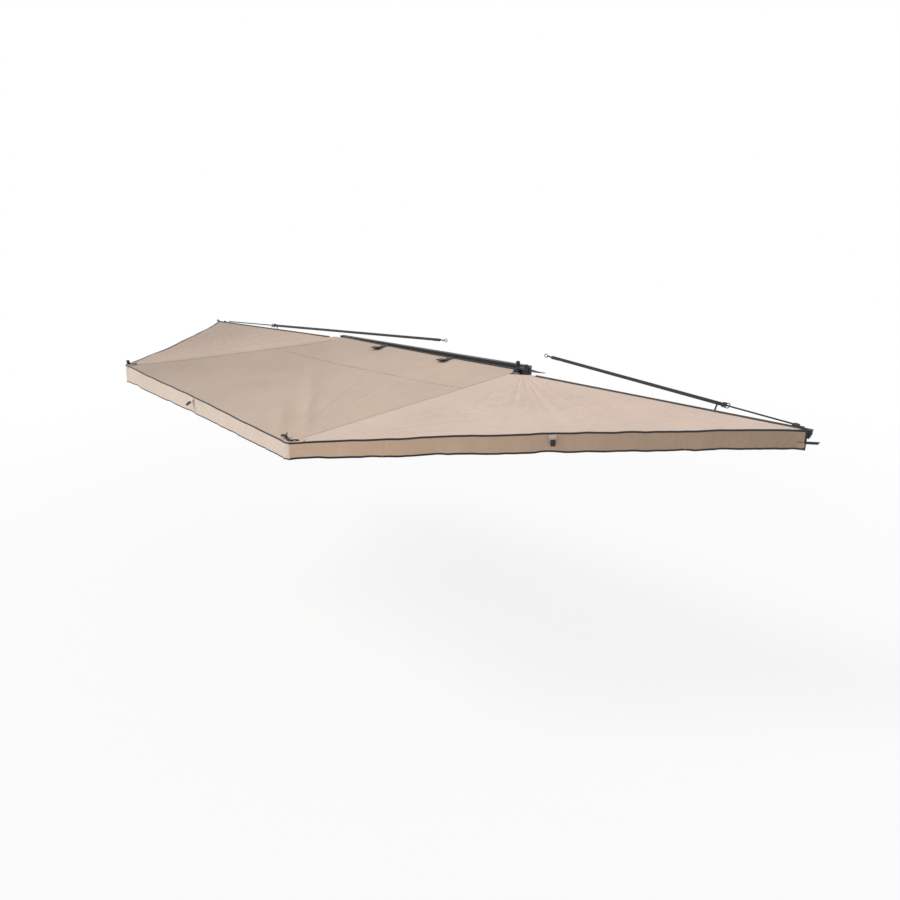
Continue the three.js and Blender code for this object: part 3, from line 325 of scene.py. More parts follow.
def slab(name, outline, low, high, finish, place=lambda points: points, round_off=0.0):
    """An outline drawn on a plane and given a thickness, then carried to its place."""
    ring = np.array([(*corner, 0.0) for corner in outline])
    count = len(ring)
    points = np.concatenate([ring + (0, 0, low), ring + (0, 0, high)])
    faces = [(k, (k + 1) % count, count + (k + 1) % count, count + k) for k in range(count)]
    faces += [tuple(range(count))[::-1], tuple(range(count, 2 * count))]
    piece = make_piece(name, place(points), faces, finish, points[:, :2], smooth_angle=30)
    if round_off:
        bevel = piece.modifiers.new("soft_edges", "BEVEL")
        bevel.width, bevel.segments, bevel.limit_method = round_off, 2, "ANGLE"
    return piece

def framed(origin, along, up):
    """A function that carries points from a small frame of their own: x along, z near the up direction."""
    along, origin = unit(along), np.asarray(origin, float)
    side = unit(np.cross(up, along))
    top = np.cross(along, side)
    return lambda points: origin + np.atleast_2d(points) @ np.stack([along, side, top])

print("a mirrored half of 2 points has", len(mirrored([(0, 1), (1, 1)])), "corners")

# %% [markdown]
# A buckle is moulded in one piece, and a strap's parts are sewn into one. So small parts are joined to one
# mesh, after their modifiers are turned into plain mesh, because joining would drop them.

# %% Joining
def applied(piece):
    """The piece with its modifiers turned into plain mesh."""
    mesh = bpy.data.meshes.new_from_object(piece.evaluated_get(bpy.context.evaluated_depsgraph_get()))
    piece.modifiers.clear()
    piece.data = mesh
    return piece

def joined(name, pieces):
    """Several pieces made into one mesh, with their finishes kept."""
    for other in bpy.context.selected_objects:
        other.select_set(False)
    for piece in pieces:
        piece.select_set(True)
    bpy.context.view_layer.objects.active = pieces[0]
    if len(pieces) > 1:
        for piece in pieces:
            if piece.modifiers:
                applied(piece)
        bpy.ops.object.join()
    pieces[0].name = pieces[0].data.name = name
    return pieces[0]

print("joining helpers ready")

# %% [markdown]
# ## Finishes
# Each finish is a small node tree. A constant such as a metal's roughness is set on the shader itself, and
# only what really varies, such as faded patches, a weave's relief or rubbed edges, comes from texture nodes.
# Pictures of cloth and metal could do this too, but nodes stay sharp at any distance and have no seams.

# %% Finish helpers
def places(tree, source="Object", scale=(1, 1, 1), turn=(0, 0, 0)):
    inputs = {"Vector": node(tree, "ShaderNodeTexCoord").outputs[source], "Scale": scale, "Rotation": turn}
    return node(tree, "ShaderNodeMapping", inputs).outputs["Vector"]

def noise(tree, vector, scale, detail=2.0, roughness=0.5):
    inputs = {"Vector": vector, "Scale": scale, "Detail": detail, "Roughness": roughness}
    return node(tree, "ShaderNodeTexNoise", inputs).outputs["Fac"]

def blend_colours(tree, amount, *colours):
    first, second = (c if isinstance(c, bpy.types.NodeSocket) else (*c, 1) for c in colours)
    return node(tree, "ShaderNodeMix", {0: amount, 6: first, 7: second}, data_type="RGBA").outputs[2]

def shade_of(colour, share, lift=0.0):
    return tuple(min(1.0, part * share + lift) for part in colour)

def relief(tree, shader, heights):
    """Bumps stacked on each other, each given as (height, distance in metres, strength)."""
    last = None
    for height, distance, strength in heights:
        bump = node(tree, "ShaderNodeBump", {"Height": height, "Distance": distance, "Strength": strength})
        if last:
            tree.links.new(last, bump.inputs["Normal"])
        last = bump.outputs["Normal"]
    tree.links.new(last, shader.inputs["Normal"])

def threads(tree, vector, direction, pitch):
    """Parallel ridges, one for each thread; a wave texture of scale 1 has 3.18 of them to the metre."""
    inputs = {"Vector": vector, "Scale": 1 / pitch / 3.18, "Distortion": 0.0}
    waves = node(tree, "ShaderNodeTexWave", inputs, wave_type="BANDS", bands_direction=direction)
    return waves.outputs["Fac"]

print("finish helpers ready")

# %% [markdown]
# The canopy is a coated canvas with a fine rip-stop grid, sun-faded in soft patches. Each panel was cut from
# the same roll but hangs at its own angle, and the differences between the panels' tints are painted light
# and shade for those angles. The cloth creases along the way it is pulled, so a panel's finish takes a tint,
# a direction for its long creases, how strongly they show, and for some panels a ramp of painted shade along
# the awning: two places on X and the share of its colour that is left at each, with painted light where
# that share is above one.

# %% Canvas
THREAD_PITCH, RIP_STOP_PITCH = 0.0011, 0.0070

def canvas(name, colour, crease_turn, crease_strength, tint_ramp=None):
    finish, tree, shader = new_finish(name, colour, 0.88)
    shader.inputs["Sheen Weight"].default_value = 0.15
    shader.inputs["Sheen Roughness"].default_value = 0.6
    weave_at = places(tree, "UV")
    body_at = places(tree, "Object")
    creased_at = places(tree, "Object", (1.0, 7.0, 1.0), (0, 0, math.radians(crease_turn)))
    faded = spread(tree, noise(tree, body_at, 1.7, 4.0, 0.6), 0.35, 0.68, 0.0, 1.0)
    grime = spread(tree, noise(tree, body_at, 9.0, 5.0, 0.7), 0.52, 0.80, 0.0, 0.20)
    darker = shade_of(colour, 0.95)
    tint = blend_colours(tree, faded, darker, shade_of(colour, 1.04))
    tint = blend_colours(tree, grime, tint, shade_of(colour, 0.80))
    warp, weft = (threads(tree, weave_at, way, THREAD_PITCH) for way in "XY")
    ridges = (threads(tree, weave_at, way, RIP_STOP_PITCH) for way in "XY")
    grid = arithmetic(tree, "MAXIMUM", *(spread(tree, ridge, 0.93, 1.0, 0.0, 1.0) for ridge in ridges))
    tint = blend_colours(tree, arithmetic(tree, "MULTIPLY", grid, 0.10), tint, darker)
    # A ramp along X that scales the colour: painted shade where its share is below one, painted light where
    # it is above.
    if tint_ramp:
        x_from, x_to, share_from, share_to = tint_ramp
        x = node(tree, "ShaderNodeSeparateXYZ", {"Vector": body_at}).outputs["X"]
        share = spread(tree, x, x_from, x_to, share_from, share_to)
        scaled = node(tree, "ShaderNodeVectorMath", {0: tint, "Scale": share}, operation="SCALE")
        tint = scaled.outputs["Vector"]
    tree.links.new(tint, shader.inputs["Base Color"])
    weave = arithmetic(tree, "MULTIPLY", warp, weft)
    creases = noise(tree, creased_at, 3.2, 3.0, 0.55)
    puckers = noise(tree, body_at, 26.0, 2.0, 0.5)
    relief(tree, shader, [
        (creases, 0.018 * crease_strength, 0.55),
        (puckers, 0.0016, 0.35),
        (grid, 0.00012, 0.6),
        (weave, 0.00010, 0.5)])
    return finish

# The tints differ only by painted light and shade. The last four numbers are ramps of painted shade: darker
# towards the front on the front wing and the main panel, and on the rear skirt painted light near corner C
# fading to painted shade towards the tip of arm D.
CANVAS = {
    "front": canvas("canvas_front_wing", (0.557, 0.421, 0.326), 20, 0.5, (1.3, 2.4, 1.0, 0.76)),
    "main": canvas("canvas_main_panel", (0.570, 0.437, 0.335), 8, 0.45, (-0.3, 1.6, 1.0, 0.73)),
    "rear": canvas("canvas_rear_wing", (0.671, 0.524, 0.426), 12, 0.9),
    "side": canvas("canvas_side_skirt", (0.708, 0.582, 0.484), 85, 0.5),
    "rear_skirt": canvas("canvas_rear_skirt", (0.585, 0.412, 0.288), 60, 0.9, (-0.76, -2.95, 1.18, 0.60)),
}
print("canvas finishes", len(CANVAS))

# %% [markdown]
# Bindings and straps are black polyester webbing. Its ribs run across the strap, so the relief follows the
# strap's own UV map: a coarse rib along the length and a fine thread across it, with a little grey dust on
# the high threads.

# %% Webbing and thread
def webbing(name, colour, rib):
    finish, tree, shader = new_finish(name, colour, 0.78)
    shader.inputs["Sheen Weight"].default_value = 0.25
    at = places(tree, "UV")
    ribs, fine = threads(tree, at, "Y", rib), threads(tree, at, "X", rib * 0.6)
    woven = arithmetic(tree, "MULTIPLY", ribs, fine)
    dust = spread(tree, noise(tree, places(tree), 14.0, 4.0, 0.65), 0.45, 0.75, 0.0, 0.35)
    tint = blend_colours(tree, arithmetic(tree, "MULTIPLY", dust, woven), colour, shade_of(colour, 2.2, 0.02))
    tree.links.new(tint, shader.inputs["Base Color"])
    relief(tree, shader, [(woven, 0.0003, 0.7)])
    return finish

BLACK_TAPE = webbing("black_tape", (0.004, 0.004, 0.004), 0.0016)
WEBBING = webbing("black_webbing", (0.012, 0.012, 0.014), 0.0016)
BINDING = webbing("black_binding", (0.014, 0.015, 0.019), 0.0011)
THREAD = webbing("sewing_thread", (0.050, 0.048, 0.048), 0.0006)
SEAM_THREAD = webbing("seam_thread", (0.300, 0.220, 0.160), 0.0006)
print("webbing finishes ready")

# %% [markdown]
# Metal and paint. The rail is a satin black extrusion with faint lines along its length, the castings
# carry a textured paint, the arms and leg tubes are brushed silver alloy, and the small fasteners are
# plain bright steel. Scratches and rubbed spots come from stretched noise in object space.

# %% Metal, paint, plastic and rubber
def drawn_metal(name, colour, roughness, metallic, scratch, stretch=(0.6, 60.0, 60.0)):
    finish, tree, shader = new_finish(name, colour, roughness, metallic)
    lines = noise(tree, places(tree, "Object", stretch), 6.0, 4.0, 0.7)
    patches = noise(tree, places(tree), 7.0, 4.0, 0.6)
    tint_ramp = spread(tree, arithmetic(tree, "MULTIPLY", lines, patches), 0.26, 0.40, 0.0, scratch)
    tint = blend_colours(tree, tint_ramp, colour, shade_of(colour, 1.5, 0.05))
    tree.links.new(tint, shader.inputs["Base Color"])
    dull = spread(tree, lines, 0.3, 0.7, roughness - 0.06, roughness + 0.10)
    tree.links.new(dull, shader.inputs["Roughness"])
    relief(tree, shader, [(lines, 0.00005, 0.4)])
    return finish

def grained(name, colour, roughness, grain, depth, metallic=0.0):
    finish, tree, shader = new_finish(name, colour, roughness, metallic)
    bumps = noise(tree, places(tree), grain, 3.0, 0.55)
    patches = noise(tree, places(tree), 11.0, 5.0, 0.65)
    dusty = spread(tree, patches, 0.50, 0.78, 0.0, 0.40)
    tint = blend_colours(tree, dusty, colour, shade_of(colour, 1.8, 0.02))
    tree.links.new(tint, shader.inputs["Base Color"])
    dull = spread(tree, patches, 0.3, 0.7, roughness - 0.05, roughness + 0.12)
    tree.links.new(dull, shader.inputs["Roughness"])
    relief(tree, shader, [(bumps, depth, 0.6)])
    return finish

RAIL_FINISH = drawn_metal("satin_black_extrusion", (0.036, 0.038, 0.046), 0.38, 0.35, 0.25)
BRACKET_FINISH = grained("black_powder_coat", (0.030, 0.031, 0.034), 0.50, 900.0, 0.00008)
CAST_FINISH = grained("textured_black_casting", (0.020, 0.021, 0.024), 0.58, 600.0, 0.00015)
KNOB_FINISH = grained("moulded_black_knob", (0.016, 0.016, 0.018), 0.46, 1400.0, 0.00005)
SILVER_FINISH = drawn_metal("brushed_silver_alloy", (0.66, 0.67, 0.69), 0.34, 0.85, 0.35, (40.0, 40.0, 40.0))
STEEL_FINISH = drawn_metal("bright_steel", (0.55, 0.56, 0.58), 0.28, 1.0, 0.30, (90.0, 90.0, 90.0))
PLASTIC_FINISH = grained("black_plastic", (0.014, 0.014, 0.016), 0.48, 1600.0, 0.00004)
RUBBER_FINISH = grained("matt_rubber", (0.022, 0.022, 0.023), 0.82, 420.0, 0.00018)
VINYL_FINISH = grained("coated_bag_cloth", (0.028, 0.028, 0.031), 0.62, 260.0, 0.00030)
print("rigid finishes ready")

# %% [markdown]
# ## Rigid pieces
# The rail, hubs, arms, caps and legs keep their solid shapes. A weld brings their loose triangles together, a
# small bevel rounds the edges as a casting or a broken extrusion edge is rounded, and weighted normals keep
# the flats flat, so light catches the edges. Modifiers do this better than a new mesh, because the
# solid's own mesh stays as it is.

# %% Dress the solid pieces
def dress(name, finish, round_off):
    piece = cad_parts[name]
    if piece.material_slots:
        for material_slot in piece.material_slots:
            material_slot.material = finish
    else:
        piece.data.materials.append(finish)
    piece.data.shade_smooth()
    weld = piece.modifiers.new("weld", "WELD")
    weld.merge_threshold = 0.00002
    bevel = piece.modifiers.new("round_edges", "BEVEL")
    bevel.width, bevel.segments, bevel.limit_method = round_off, 2, "ANGLE"
    bevel.angle_limit = math.radians(38)
    bevel.use_clamp_overlap = True
    piece.modifiers.new("even_shading", "WEIGHTED_NORMAL")

DRESSING = {
    "backbone_rail": (RAIL_FINISH, 0.0005), "rail_cap_front": (PLASTIC_FINISH, 0.0008),
    "rail_cap_rear": (PLASTIC_FINISH, 0.0008), "front_hub": (CAST_FINISH, 0.0006),
    "rear_hub": (CAST_FINISH, 0.0008), "pivot_bolt_a": (STEEL_FINISH, 0.0004),
    "pivot_bolt_b": (STEEL_FINISH, 0.0004), "pivot_bolt_c": (KNOB_FINISH, 0.0012),
    "pivot_bolt_d": (KNOB_FINISH, 0.0012), "front_strap_ring": (KNOB_FINISH, 0.0002),
    "rear_strap_ring": (KNOB_FINISH, 0.0002),
}
for place in ("front", "middle", "rear"):
    DRESSING["bracket_" + place] = (BRACKET_FINISH, 0.0008)
ON_EACH_ARM = {
    "arm_": (SILVER_FINISH, 0.0005), "arm_cap_": (CAST_FINISH, 0.0009), "leg_pin_": (KNOB_FINISH, 0.0004),
    "leg_outer_": (SILVER_FINISH, 0.0003), "leg_lock_": (PLASTIC_FINISH, 0.0006),
    "leg_middle_": (SILVER_FINISH, 0.0003), "leg_inner_": (SILVER_FINISH, 0.0003),
    "leg_foot_": (RUBBER_FINISH, 0.0012)}
for key in ARMS:
    DRESSING.update({part + key: dressing for part, dressing in ON_EACH_ARM.items()})
for name, (finish, round_off) in DRESSING.items():
    dress(name, finish, round_off)
print("dressed", len(DRESSING), "solid pieces")

# %% [markdown]
# ## The canopy
# The canopy is three panels of canvas sewn together over the two middle arms. Each panel is one curved sheet:
# it runs from one arm's line to the next, is cut hollow at its outer edge so that the pull of the corners
# keeps it tight, and sags a little between the arms. The solid model uses the same rule, so the cloth
# fills the same space. A cloth simulation could find the shape, but a rule gives the same cloth on each run.
# A fine grid adds what tension does to real cloth: creases fan out from the corners.

# %% Lines of cloth over the arms
SEAM_GAP, OVER_ARM, PANEL_THICKNESS, SKIRT_THICKNESS = 0.0012, 0.0046, 0.0014, 0.0010
RUNS = {"a": (0.0, 1.830), "b": (0.0, 1.845), "c": (0.062, 2.050), "c_rear": (0.106, 2.050),
        "d": (0.062, 1.993)}
RAIL_OUTER_Y, RAIL_TOP_Z = 0.0853, 0.0860
TIP_A, CORNER_B, CORNER_C, TIP_D = (2.867, 0.146), (1.824, 1.743), (-0.757, 2.145), (-3.063, 0.146)

def arm_line(run_name, side, out):
    start, end = RUNS[run_name]
    along = start + out * (end - start)
    near_bolt = np.maximum(0, 1 - (along - start) / 0.062)
    rise = 0.0049 if start == 0 else 0.0
    local = np.stack([along, np.full_like(out, side * SEAM_GAP / 2), OVER_ARM + near_bolt * rise], -1)
    return on_arm(run_name[0], local)

def off_arm(lines, out, sideways, drop, direction):
    """The ridge seam lies a little beside its arm, pulled there by the larger panel."""
    share = 0.02 + 0.98 * (1 - (2 * out - 1) ** 6)
    shift = np.array([*direction, 0]) * sideways + np.array([0, 0, -drop])
    return lines + share[:, None] * shift

def between(first, second, across, out, bow, sag=0.014):
    """A grid of points between two lines, rows going out and columns going across."""
    points = first[:, None] + (second - first)[:, None] * across[None, :, None]
    middle = 4 * across * (1 - across)
    edge = second - first
    inward = unit(np.stack([-edge[:, 1], edge[:, 0], np.zeros(len(edge))], -1))
    points = points + inward[:, None] * (bow * middle[None, :] * (out ** 3)[:, None])[..., None]
    points[..., 2] -= sag * (middle[None, :] * (4 * out * (1 - out))[:, None]) ** 2
    return points

print("outer corner over arm b", arm_line("b", -1, np.array([1.0]))[0].round(3))

# %% [markdown]
# Creases are small heights added to the grid. A crease follows a line in plan and fades along it; a fan of
# creases spreads from a loaded corner, finer and stronger near it. Low unevenness everywhere keeps any panel
# from looking machined. All of it comes from sines with fixed phases, so each run gives the same cloth.

# %% Creases and unevenness
def soft_noise(points, size, seed, waves=7):
    chance = np.random.default_rng(seed)
    total = np.zeros(points.shape[:-1])
    for _ in range(waves):
        heading, phase = chance.uniform(0, 2 * math.pi, 2)
        pace = 2 * math.pi / (size * chance.uniform(0.6, 1.7))
        along = points[..., 0] * math.cos(heading) + points[..., 1] * math.sin(heading)
        total += np.sin(pace * along + phase)
    return total / math.sqrt(waves)

def crease(points, start, end, height, width):
    start, end = np.array(start), np.array(end)
    run = end - start
    share = ((points[..., :2] - start) @ run) / (run @ run)
    beside = (points[..., 0] - start[0]) * -run[1] + (points[..., 1] - start[1]) * run[0]
    beside = beside / np.linalg.norm(run)
    fading = np.clip(share * 8, 0, 1) * np.clip((1 - share) * 1.6, 0, 1)
    narrow = width * (0.5 + np.clip(share, 0, 1))
    return height * fading * np.exp(-((beside / narrow) ** 2))

def fan(points, corner, heading, half_angle, fineness, height, reach, seed):
    """Creases that spread from a corner, within half_angle degrees of a heading."""
    away = points[..., :2] - np.array(corner)
    distance = np.linalg.norm(away, axis=-1)
    angle = np.degrees(np.arctan2(away[..., 1], away[..., 0])) - heading
    angle = (angle + 180) % 360 - 180
    inside = np.exp(-((angle / half_angle) ** 2) * 1.2)
    chance = np.random.default_rng(seed)
    phases = chance.uniform(0, 2 * math.pi, 3)
    waves = sum(np.sin(np.radians(angle) * fineness * k + p + 0.8 * np.sin(distance * 2.1 + p))
                for k, p in zip((1.0, 1.63, 2.41), phases)) / 2
    grows = np.clip(distance / 0.12, 0, 1) * np.exp(-distance / reach)
    return height * inside * grows * waves

def calm_corners(grid):
    """Nothing is uneven within a few centimetres of the two outer corners, where the cloth is doubled."""
    calm = np.ones(grid.shape[:-1])
    for corner in (CORNER_B, CORNER_C):
        calm *= np.clip((np.linalg.norm(grid[..., :2] - np.array(corner), axis=-1) - 0.06) / 0.12, 0, 1)
    return calm

def raised(grid, across, out, bump, beside, inner):
    """The grid with its unevenness added, faded towards the sewn sides and the inner end."""
    free_sides = np.clip(beside * across * (1 - across), 0, 1)[None, :]
    free_end = np.clip(out * inner, 0, 1)[:, None]
    grid[..., 2] += calm_corners(grid) * (free_sides * free_end) * bump
    return grid

print("unevenness at the origin", round(float(soft_noise(np.zeros((1, 3)), 0.4, 1)[0]), 3))

# %% [markdown]
# A panel's grid becomes a mesh with a UV map in metres of cloth, and a Solidify modifier gives it the
# thickness of coated canvas. Folding is the awkward part: a real sheet must close like a fan when its arm
# swings in. Here each point's share of that swing is worked out from its own bearing from the pivot, but
# the share is not used: the sheet is only baked in place and does not fold.

# %% Cloth sheets
def cloth_sheet(name, grid, finish, thickness=PANEL_THICKNESS):
    rows, columns = grid.shape[:2]
    index = np.arange(rows * columns).reshape(rows, columns)
    faces = [(index[i, j], index[i, j + 1], index[i + 1, j + 1], index[i + 1, j])
             for i in range(rows - 1) for j in range(columns - 1)]
    u = np.stack([run_lengths(grid[i]) - run_lengths(grid[i])[-1] / 2 for i in range(rows)])
    v = np.broadcast_to(run_lengths(grid[:, columns // 2])[:, None], u.shape)
    uvs = np.stack([u, v], -1).reshape(-1, 2)
    piece = make_piece(name, grid.reshape(-1, 3), faces, finish, uvs, closed=False, smooth_angle=70)
    solid = piece.modifiers.new("cloth_thickness", "SOLIDIFY")
    solid.thickness, solid.offset = thickness, -1
    evened = piece.modifiers.new("even_normals", "WEIGHTED_NORMAL")
    evened.weight, evened.keep_sharp = 100, True
    return piece

def face_upwards(grid):
    normal = np.cross(grid[1, 1] - grid[0, 1], grid[0, 1] - grid[0, 0])
    middle = np.cross(grid[-1, 1] - grid[-2, 1], grid[-1, 1] - grid[-1, 0])
    return grid[:, ::-1] if (normal[2] + middle[2]) > 0 else grid

def fold_with(piece, key):
    arm = ARMS[key]
    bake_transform(piece)
    points = np.array([v.co for v in piece.data.vertices])
    bearing = np.degrees(np.arctan2(points[:, 1] - arm["pivot"][1], points[:, 0] - arm["pivot"][0]))
    bearing = (bearing + 90) % 360 - 90
    share = abs(arm["folded"] - bearing) / arm["opens"]
    share[(bearing > 180) if arm["folded"] == 180 else (bearing < 0)] = 0
    share = np.clip(share, 0, 1).astype(np.float32)
    return piece

def sheet_area(grid):
    a, b = grid[1:, 1:] - grid[:-1, :-1], grid[1:, :-1] - grid[:-1, 1:]
    return float(np.linalg.norm(np.cross(a, b), axis=-1).sum() / 2)

def declare_panel(piece, grid):
    width = max(run_lengths(grid[0])[-1], run_lengths(grid[-1])[-1])
    length = max(run_lengths(grid[:, 0])[-1], run_lengths(grid[:, -1])[-1])
    area = sheet_area(grid)
    print(piece.name, "cloth", round(width, 2), "by", round(length, 2), "m, area", round(area, 3))
    area = None if area > 0.98 * width * length else round(area, 3)

# %% [markdown]
# The front wing runs from the front arm over the second arm to the ridge seam beside it. The main panel
# fills the middle, from the rail's groove to the long side edge. The rear wing reaches back to the last arm.
# Its creases fan from that arm's tip, where its strap pulls.

# %% Panel grids
RIDGE_SIDEWAYS, RIDGE_DROP, FELLED_SEAM_Y = 0.055, 0.010, 0.70
TOWARDS_MAIN = (-0.891, 0.454)

def front_grid(rows=110, columns=90):
    out, across = np.linspace(0, 1, rows), np.linspace(0, 1, columns)
    line_b = arm_line("b", -1, out)
    grid = between(arm_line("a", 1, out), line_b, across, out, 0.054)
    bump = 0.0035 * soft_noise(grid, 0.55, 3) + 0.0012 * soft_noise(grid, 0.16, 4)
    bump += fan(grid, TIP_A, 150, 26, 60, 0.006, 0.9, 5)
    bump += fan(grid, CORNER_B, -80, 24, 55, 0.006, 0.8, 6)
    grid = raised(grid, across, out, bump, 5, 6)
    ridge = off_arm(line_b, out, RIDGE_SIDEWAYS, RIDGE_DROP, TOWARDS_MAIN)
    strip = [line_b + (ridge - line_b) * s for s in (0.2, 0.4, 0.6, 0.8, 1.0)]
    return np.concatenate([grid, np.stack(strip, 1)], 1)

def main_grid(rows=120, columns=150):
    out, across = np.linspace(0, 1, rows), np.linspace(0, 1, columns)
    ridge = off_arm(arm_line("b", 1, out), out, RIDGE_SIDEWAYS, RIDGE_DROP, TOWARDS_MAIN)
    grid = between(ridge, arm_line("c", -1, out), across, out, 0.006)
    bump = 0.0045 * soft_noise(grid, 0.70, 11) + 0.0014 * soft_noise(grid, 0.20, 12)
    bump += crease(grid, (-0.80, 2.05), (0.66, 0.72), 0.017, 0.050)
    bump += crease(grid, (-0.66, 2.12), (0.34, 1.30), 0.013, 0.060)
    bump += fan(grid, CORNER_C, -62, 30, 46, 0.006, 0.8, 13)
    bump += fan(grid, CORNER_B, -150, 26, 50, 0.006, 0.7, 14)
    bump -= 0.004 * np.exp(-(((grid[..., 1] - FELLED_SEAM_Y) / 0.035) ** 2))
    near_rail = np.exp(-((grid[..., 1] - 0.12) / 0.16)) * np.clip(out * 30, 0, 1)[:, None]
    bump += near_rail * (0.006 * np.sin(grid[..., 0] * 37) * np.sin(grid[..., 0] * 11 + 1) - 0.006)
    grid = raised(grid, across, out, bump, 7, 5)
    rear, front = RAIL_TOP_Z - 0.030, RAIL_TOP_Z - 0.010
    rail = np.stack([0.980 - across * 1.905, np.full_like(across, RAIL_OUTER_Y + 0.0006),
                     rear + (1 - across) ** 2 * (front - rear)], -1)
    lead = [rail + (grid[0] - rail) * (s * s * (3 - 2 * s)) for s in (0, 0.25, 0.5, 0.75)]
    return np.concatenate([np.stack(lead, 0), grid], 0)

def rear_grid(rows=130, columns=110):
    out, across = np.linspace(0, 1, rows), np.linspace(0, 1, columns)
    grid = between(arm_line("c_rear", 1, out), arm_line("d", -1, out), across, out, 0.048)
    bump = 0.0040 * soft_noise(grid, 0.60, 21) + 0.0015 * soft_noise(grid, 0.14, 22)
    bump += fan(grid, TIP_D, 12, 15, 95, 0.011, 1.5, 23)
    bump += fan(grid, CORNER_C, -120, 28, 50, 0.006, 0.8, 24)
    bump += fan(grid, (-1.03, 0.14), 140, 30, 26, 0.005, 1.1, 25)
    return raised(grid, across, out, bump, 5, 6)

FRONT, MAIN, REAR = (face_upwards(g) for g in (front_grid(), main_grid(), rear_grid()))
print("grids", FRONT.shape, MAIN.shape, REAR.shape)

# %% [markdown]
# The grids become four sheets, with the main panel cut along its middle. Each sheet replaces the plain solid
# panel in the same place.

# %% Panels
half = MAIN.shape[1] // 2
MAIN_FRONT, MAIN_REAR = MAIN[:, half:], MAIN[:, :half + 1]
front_wing = cloth_sheet("front_wing_cloth", FRONT, CANVAS["front"])
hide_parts("front_wing_panel")
main_front = cloth_sheet("main_cloth_front_half", MAIN_FRONT, CANVAS["main"])
main_rear = cloth_sheet("main_cloth_rear_half", MAIN_REAR, CANVAS["main"])
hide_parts("main_panel")
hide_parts("main_panel")
rear_wing = cloth_sheet("rear_wing_cloth", REAR, CANVAS["rear"])
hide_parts("rear_wing_panel")
for piece, grid, key, arms in ((front_wing, FRONT, "a", ("arm_a", "arm_b")),
                               (main_front, MAIN_FRONT, "b", ("arm_b",)),
                               (main_rear, MAIN_REAR, "c", ("arm_c",)),
                               (rear_wing, REAR, "d", ("arm_c", "arm_d"))):
    fold_with(piece, key)
    declare_panel(piece, grid)

# %% [markdown]
# Three skirts hang from the outer edges. Real skirts are only as tall as a hand or two, are sewn to the
# canopy's edge under a black binding, and wave more towards the hem, because nothing holds them there. Each
# skirt is a grid that drops from its edge line, pushed in and out by waves that grow downwards.

# %% Skirt shape
WAVES = ((0.36, 1.0), (0.21, 0.7), (0.83, 0.6))
STAND_OFF, FLARE, SWELL, SWELL_REACH = 0.0022, 0.006, 0.8, 0.30
PUCKER_AT, PUCKER_WIDTH = 0.15, 0.05
SLANT, SLANT_PITCH, SLANT_REACH, BELOW_EDGE = 0.0018, 0.055, 0.5, 0.0012

def trimmed(edge, at_start=0.0, at_end=0.0, count=None):
    """The edge cut shorter at its ends, with evenly spaced points."""
    run = run_lengths(edge)
    keep = np.linspace(at_start, run[-1] - at_end, count or len(edge))
    return np.stack([np.interp(keep, run, edge[:, k]) for k in range(3)], -1)

def outward_of(edge):
    run = tangents(edge)
    out = unit(np.stack([run[:, 1], -run[:, 0], np.zeros(len(run))], -1))
    return out if (out @ np.array([0, 1, 0])).mean() > 0 else -out

def skirt_grid(edge, height_one, height_two, wave, seed, pucker=0.0, fuller=0.0, rows=26):
    """A skirt below its edge; pucker lifts its hem near the start, and fuller lowers it in the middle."""
    run, out = run_lengths(edge), outward_of(edge)
    share = run / run[-1]
    height = height_one + share * (height_two - height_one) + fuller * 4 * share * (1 - share)
    phases = np.random.default_rng(seed).uniform(0, 2 * math.pi, 4)
    waves = sum(size * np.sin(run / length * 2 * math.pi + phase)
                for (length, size), phase in zip(WAVES, phases))
    swell = 1 + SWELL * np.exp(-run / SWELL_REACH)
    near_end = np.exp(-(run[-1] - run) / SLANT_REACH)
    lifted = pucker * np.exp(-((run - PUCKER_AT) / PUCKER_WIDTH) ** 2)
    grid = np.zeros((rows, len(edge), 3))
    for i, down in enumerate(np.linspace(0, 1, rows)):
        push = STAND_OFF + wave * down ** 1.3 * waves * swell * 0.5 + FLARE * down
        drop = height * down * (1 - 0.015 * np.abs(waves) * down) - down * lifted
        slant = SLANT * down * np.sin(run / SLANT_PITCH * 2 * math.pi + 9 * down + phases[3]) * near_end
        grid[i] = edge + out * (push + slant)[:, None] - np.array([0, 0, 1]) * (drop + BELOW_EDGE)[:, None]
    return grid

print("skirt waves", [length for length, _ in WAVES], "m long")

# %% [markdown]
# The skirts' top lines are the panels' outer edges, read from front to back. Near an arm's tip a real edge is
# led round the nose of the arm's cap, so the last hand's width of each line is pulled to a place there.

# %% Edges of the canopy
FRONT_EDGE, SIDE_EDGE, REAR_EDGE = FRONT[-1, 5:][::-1], MAIN[-1][::-1], REAR[-1][::-1]
NOSE = {"b": on_arm("b", [(1.838, -0.028, OVER_ARM), (1.8485, -0.013, OVER_ARM), (1.8485, 0.013, OVER_ARM)]),
        "c": on_arm("c", [(2.0515, -0.024, OVER_ARM), (2.0470, 0.009, OVER_ARM), (2.0425, 0.0165, OVER_ARM)]),
        "d": on_arm("d", [(2.0040, -0.0270, OVER_ARM)])}

def around(edge, at_start=None, at_end=None, reach=0.16):
    """The edge led round the nose of an arm's cap: it leaves its own line a hand before the corner."""
    run = run_lengths(edge)
    for point, near in ((at_start, run), (at_end, run[-1] - run)):
        if point is not None:
            corner = edge[0] if near is run else edge[-1]
            pull = np.clip(1 - near / reach, 0, 1) ** 2
            edge = edge + pull[:, None] * (point - corner)
    return edge

